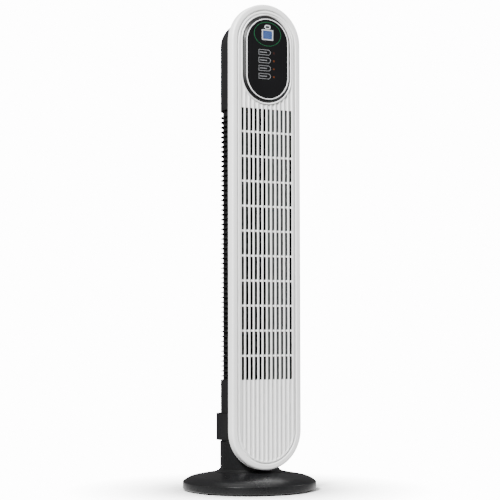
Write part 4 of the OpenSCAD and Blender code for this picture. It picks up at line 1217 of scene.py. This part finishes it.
class FAN_OT_pod(bpy.types.Operator):
    """Control pod: white surround, black bezel, bright trim and gloss lens"""
    bl_idname = "tower_fan.pod"
    bl_label = "Control pod"

    def execute(self, context):
        f, r, face = PANEL_FRONT, POD_R, POD_FACE
        back = GRILLE_BACK - 2
        inner = r + 0.3
        outer = inner + 3.9
        section = ([(inner, back), (inner, f - 0.9), (inner + 0.3, f - 0.5), (outer - 1.8, f + 1.2)]
                   + arc(outer - 1.6, f - 0.4, 1.6, 80, 0, 5)
                   + [(outer, back + 1.8), (outer + 2, back + 1.8), (outer + 2, back)])
        piece("pod_rim", [front_ring(section, TOP_C, POD_LOW_C, 64)],
              "white_plastic", "tower", ["pod_surround"])
        trim = TRIM_R + 0.05
        section = [(r - 2.4, back), (r, back), (r, f - 1.6), (r - 0.25, f - 1.0), (trim + 0.9, face - 0.25),
                   (trim + 0.3, face), (trim, face - 0.3), (trim, LENS_BACK), (LENS_R - 3, LENS_BACK),
                   (LENS_R - 3, LENS_BACK - 2.2), (r - 2.4, LENS_BACK - 2.2)]
        piece("pod_bevel", [front_ring(section, TOP_C, POD_LOW_C, 64)],
              "matt_black", "tower", ["pod_bezel"], slot="gloss_black")
        low_r, high_r = LENS_R + 0.1, TRIM_R
        middle, edge = (low_r + high_r) / 2, 0.55
        section = ([(low_r, LENS_BACK), (high_r, LENS_BACK)]
                   + arc(high_r - edge, face + 0.05, edge, 0, 100, 4)
                   + [(middle + 0.35, face + 0.32), (middle - 0.35, face + 0.32)]
                   + arc(low_r + edge, face + 0.05, edge, 80, 180, 4))
        piece("pod_trim_ring", [front_ring(section, TOP_C, POD_LOW_C, 64)],
              "trim_silver", "tower", ["pod_trim"], smooth=50)
        finish_nodes("lens_black", "pod_lens")
        return {"FINISHED"}


# Ends of a digit's seven strokes, as shares of its width and height.
SEGMENTS = (((0.12, 1.0), (0.88, 1.0)), ((0.0, 0.94), (0.0, 0.56)), ((1.0, 0.94), (1.0, 0.56)),
            ((0.12, 0.5), (0.88, 0.5)), ((0.0, 0.44), (0.0, 0.06)), ((1.0, 0.44), (1.0, 0.06)),
            ((0.12, 0.0), (0.88, 0.0)))


class FAN_OT_display(bpy.types.Operator):
    """Display with its frame, the light ring round it and the receiver window above it"""
    bl_idname = "tower_fan.display"
    bl_label = "Display"

    def execute(self, context):
        lo, hi = low("display_frame"), high("display_frame")
        face = -lo.y
        obj = solid("display_surround", [front_plate(box_outline(lo, hi, 0.5), LENS_BACK, face)])
        pl, ph = low("display_panel"), high("display_panel")
        cut(obj, [front_plate(box_outline(pl, ph, 0.4), LENS_BACK - OVER, face + OVER)])
        soften(obj, 0.15, 2)
        finish_piece(obj, "print_white", "tower", ["display_frame"])
        finish_nodes("display_blue", "display_panel")
        wide, tall, gap, half = 5.2, 9.6, 2.6, 0.5
        tip = half * 0.6
        parts = []
        for side in (-1, 1):
            x0 = side * (wide + gap) / 2 - wide / 2
            z0 = (pl.z + ph.z) / 2 - tall / 2
            for (ax, az), (bx, bz) in SEGMENTS:
                xa, xb = sorted((x0 + ax * wide, x0 + bx * wide))
                za, zb = sorted((z0 + az * tall, z0 + bz * tall))
                if xa == xb:
                    outline = [(xa - half, za), (xa, za - tip), (xa + half, za), (xa + half, zb),
                               (xa, zb + tip), (xa - half, zb)]
                else:
                    outline = [(xa, za - half), (xb, za - half), (xb + tip, za), (xb, za + half),
                               (xa, za + half), (xa - tip, za)]
                parts.append(front_plate(outline, POD_FACE - 0.3, POD_FACE + 0.06))
        piece("display_segments", parts, "display_pale", "tower", slot="display_blue")
        finish_nodes("light_green", "ring_light")

        lo, hi = low("receiver_window"), high("receiver_window")
        r, z = (hi.z - lo.z) / 2, (hi.z + lo.z) / 2
        half = (hi.x - lo.x) / 2 - r

        def oval(inset):
            return arc(half, z, r - inset, -90, 90, 14) + arc(-half, z, r - inset, 90, 270, 14)

        ring = solid("receiver_ring", [front_plate(oval(0), LENS_BACK, -lo.y)])
        cut(ring, [front_plate(oval(2.5), LENS_BACK - OVER, -lo.y + OVER)])
        soften(ring, 0.15, 2)
        finish_piece(ring, "print_white", "tower", ["receiver_window"])
        eye = [[(x * k, -(LENS_BACK + 0.4 + d), z + (y - z) * k) for x, y in oval(2.6)]
               for k, d in ((1.0, 0.0), (1.0, 1.7), (0.8, 2.1), (0.4, 2.3), (0.02, 2.35))]
        piece("receiver_eye", [skin(eye, around=False, caps=True)], "lens_black", "tower", smooth=60)
        return {"FINISHED"}


# Sides, turn in degrees and radius of the mark on each light; the first light is off.
LIGHT_MARKS = (None, (4, 45, 2.3), (3, 90, 2.5), (24, 0, 1.9))


class FAN_OT_indicators(bpy.types.Operator):
    """Four indicator lights beside the keys, each but the first with its own mark"""
    bl_idname = "tower_fan.indicators"
    bl_label = "Indicator lights"

    def execute(self, context):
        lo, hi = low("icon_lights"), high("icon_lights")
        x, r, face = (lo.x + hi.x) / 2, (hi.x - lo.x) / 2, -lo.y
        windows, marks = [], []
        for key, mark in zip(KEYS, LIGHT_MARKS):
            z = (low(key).z + high(key).z) / 2
            windows.append(front_plate(circle(x, z, r - 0.05, 32), LENS_BACK - 8, face - 0.25))
            if mark:
                sides, turn, size = mark
                outer, inner = (circle(x, z, r, sides, turn) for r in (size, size * 0.56))
                marks.append(front_frame(outer, inner, face - 0.3, face))
        piece("indicator_windows", windows, "light_faint", "tower", ["icon_lights"], slot="light_amber")
        piece("indicator_marks", marks, "light_amber", "tower")
        return {"FINISHED"}


# The button's dome: share of its radius and height above its foot, in millimetres.
BUTTON_DOME = ((1.0, 0.0), (1.0, 0.25), (0.9, 0.32), (0.7, 0.35), (0.4, 0.32), (0.03, 0.28))


class FAN_OT_keys(bpy.types.Operator):
    """Four keys: a cap with a printed outline and bar, whose slanted end is a painted glint, and a round
    gloss button at its end
    """
    bl_idname = "tower_fan.keys"
    bl_label = "Keys"

    def execute(self, context):
        for key in KEYS:
            lo, hi = low(key), high(key)
            face = -lo.y
            lip = 1.2
            x0, x1 = lo.x + lip, hi.x - lip
            z, half = (lo.z + hi.z) / 2, (hi.z - lo.z) / 2 - lip
            end = x1 - half

            def outline(grow, corner=0.8):
                """The key's outline: two small corners on the left and a half circle on the right."""
                left, rise = x0 - grow + corner, half + grow - corner
                return (arc(left, z + rise, corner, 90, 180, 3) + arc(left, z - rise, corner, 180, 270, 3)
                        + arc(end, z, half + grow, -90, 90, 20))

            cap = solid(key + "_cap", [front_plate(outline(-0.02), LENS_BACK - 1.9, face - 0.12),
                                       front_plate(outline(lip), LENS_BACK - 1.9, LENS_BACK - 0.3)])
            soften(cap, 0.25, 2, 50)
            stem = rod_back((lo.x + hi.x) / 2, z, 2, -(LENS_BACK - 1.5), hi.y, 20)
            dome = [[(x, -(face - 0.35 + d), y) for x, y in circle(end + 0.3, z, (half - 2.3) * k, 32)]
                    for k, d in BUTTON_DOME]
            button = solid(key + "_button", [skin(dome, around=False, caps=True), stem])
            finish_piece(cap, "key_black", key, [key])
            finish_piece(button, "key_black", key, smooth=60)
            # The bar is print; its slanted stroke up to the button's upper left is a painted glint.
            bar = [(x0 + 3.2, z - 0.9), (end - 2.6, z - 0.9), (end + 1.2, z + 2.6), (end - 1.0, z + 3.4),
                   (end - 4.0, z + 0.9), (x0 + 3.2, z + 0.9)]
            print_back, print_face = face - 0.4, face - 0.04
            line = front_frame(outline(-0.25), outline(-1.35, 0.5), print_back, print_face)
            marks = solid(key + "_print", [line, front_plate(bar, print_back, print_face)])
            finish_piece(marks, "key_print", key, slot="key_black")
        return {"FINISHED"}


# Distances over which the floor fades out, and the room's light on the fan and as it is seen.
FLOOR_FADE = (0.15, 0.42)
ROOM_LIGHT, ROOM_SEEN = 0.14, 14.0
# Name, place, aim, power, width and height of each light.
LIGHTS = (("key_light", (-3.0, -2.1, 3.3), (0, 0, 0.6), 800, 0.8, 0.8),
          ("fill_light", (3.4, -1.3, 1.8), (0, 0, 0.5), 120, 2.0, 2.0),
          ("rim_light", (-3.3, 1.0, 2.0), (0, 0, 0.6), 30, 1.4, 2.0),
          ("top_light", (0.3, 0.6, 3.6), (0, 0, 0.0), 30, 2.4, 2.4))
CAMERA_PLACE = (-1.6047, -2.9516, 0.3569)
CAMERA_FORWARD = (0.47746, 0.87697, 0.05435)
CAMERA_ROLL = -0.085


class FAN_OT_stage(bpy.types.Operator):
    """Pale floor, soft lights and the camera"""
    bl_idname = "tower_fan.stage"
    bl_label = "Stage"

    def execute(self, context):
        scene = context.scene
        floor_mesh = bpy.data.meshes.new("floor")
        far = 14
        floor_mesh.from_pydata([(-far, -far, 0), (far, -far, 0), (far, far, 0), (-far, far, 0)], [],
                               [(0, 1, 2, 3)])
        floor = bpy.data.objects.new("floor", floor_mesh)
        scene.collection.objects.link(floor)
        made, tree, shader = start_material("floor_pale")
        shader.inputs["Base Color"].default_value = (0.86, 0.86, 0.86, 1)
        shader.inputs["Roughness"].default_value = 0.9
        reach = add(tree, "ShaderNodeVectorMath", {0: object_coords(tree)}, operation="LENGTH")
        fade = spread(tree, reach.outputs["Value"], *FLOOR_FADE, 1.0, 0.0)
        tree.links.new(fade, shader.inputs["Alpha"])
        floor_mesh.materials.append(made)

        world = bpy.data.worlds.new("soft_room")
        scene.world = world
        world.use_nodes = True
        tree = world.node_tree
        back = tree.nodes["Background"]
        back.inputs["Color"].default_value = (1, 1, 1, 1)
        back.inputs["Strength"].default_value = ROOM_LIGHT
        seen = add(tree, "ShaderNodeBackground", {"Color": (1, 1, 1, 1), "Strength": ROOM_SEEN})
        ray = tree.nodes.new("ShaderNodeLightPath").outputs["Is Camera Ray"]
        both = add(tree, "ShaderNodeMixShader", {0: ray, 1: back.outputs[0], 2: seen.outputs[0]})
        tree.links.new(both.outputs[0], tree.nodes["World Output"].inputs["Surface"])

        for name, place, aim, power, wide, tall in LIGHTS:
            data = bpy.data.lights.new(name, "AREA")
            data.shape, data.size, data.size_y, data.energy = "RECTANGLE", wide, tall, power
            light = bpy.data.objects.new(name, data)
            light.location = place
            light.rotation_euler = (Vector(aim) - Vector(place)).to_track_quat("-Z", "Y").to_euler()
            scene.collection.objects.link(light)

        camera_data = bpy.data.cameras.new("camera")
        camera_data.lens, camera_data.sensor_width = 106.7, 36.0
        camera_data.clip_end = 60
        camera = bpy.data.objects.new("camera", camera_data)
        camera.location = CAMERA_PLACE
        turn = Vector(CAMERA_FORWARD).normalized().to_track_quat("-Z", "Y").to_matrix().to_4x4()
        camera.rotation_euler = (turn @ Matrix.Rotation(math.radians(CAMERA_ROLL), 4, "Z")).to_euler()
        scene.collection.objects.link(camera)
        scene.camera = camera
        return {"FINISHED"}


STEPS = (FAN_OT_base, FAN_OT_feet, FAN_OT_screws, FAN_OT_neck, FAN_OT_swing_drive, FAN_OT_collar,
         FAN_OT_shells, FAN_OT_intake, FAN_OT_rotor, FAN_OT_front_panel, FAN_OT_front_grille, FAN_OT_pod,
         FAN_OT_display, FAN_OT_indicators, FAN_OT_keys, FAN_OT_stage)


class FAN_PT_panel(bpy.types.Panel):
    """Lists the pieces of the fan"""
    bl_idname = "FAN_PT_panel"
    bl_label = "Tower fan"
    bl_space_type = "VIEW_3D"
    bl_region_type = "UI"
    bl_category = "Tower fan"

    def draw(self, context):
        for step in STEPS:
            self.layout.operator(step.bl_idname, text=step.bl_label)
        for group_of in (context.scene.tower_fan_sizes, context.scene.tower_fan_colours):
            box = self.layout.box()
            for key in group_of.__annotations__:
                box.prop(group_of, key)


CLASSES = (FanSizes, FanColours) + STEPS + (FAN_PT_panel,)


def register():
    for cls in CLASSES:
        bpy.utils.register_class(cls)
    bpy.types.Scene.tower_fan_sizes = PointerProperty(type=FanSizes)
    bpy.types.Scene.tower_fan_colours = PointerProperty(type=FanColours)


def unregister():
    del bpy.types.Scene.tower_fan_colours
    del bpy.types.Scene.tower_fan_sizes
    for cls in reversed(CLASSES):
        bpy.utils.unregister_class(cls)


def main():
    register()
    for step in STEPS:
        area, call = step.bl_idname.split(".")
        getattr(getattr(bpy.ops, area), call)()


if __name__ == "__main__":
    main()
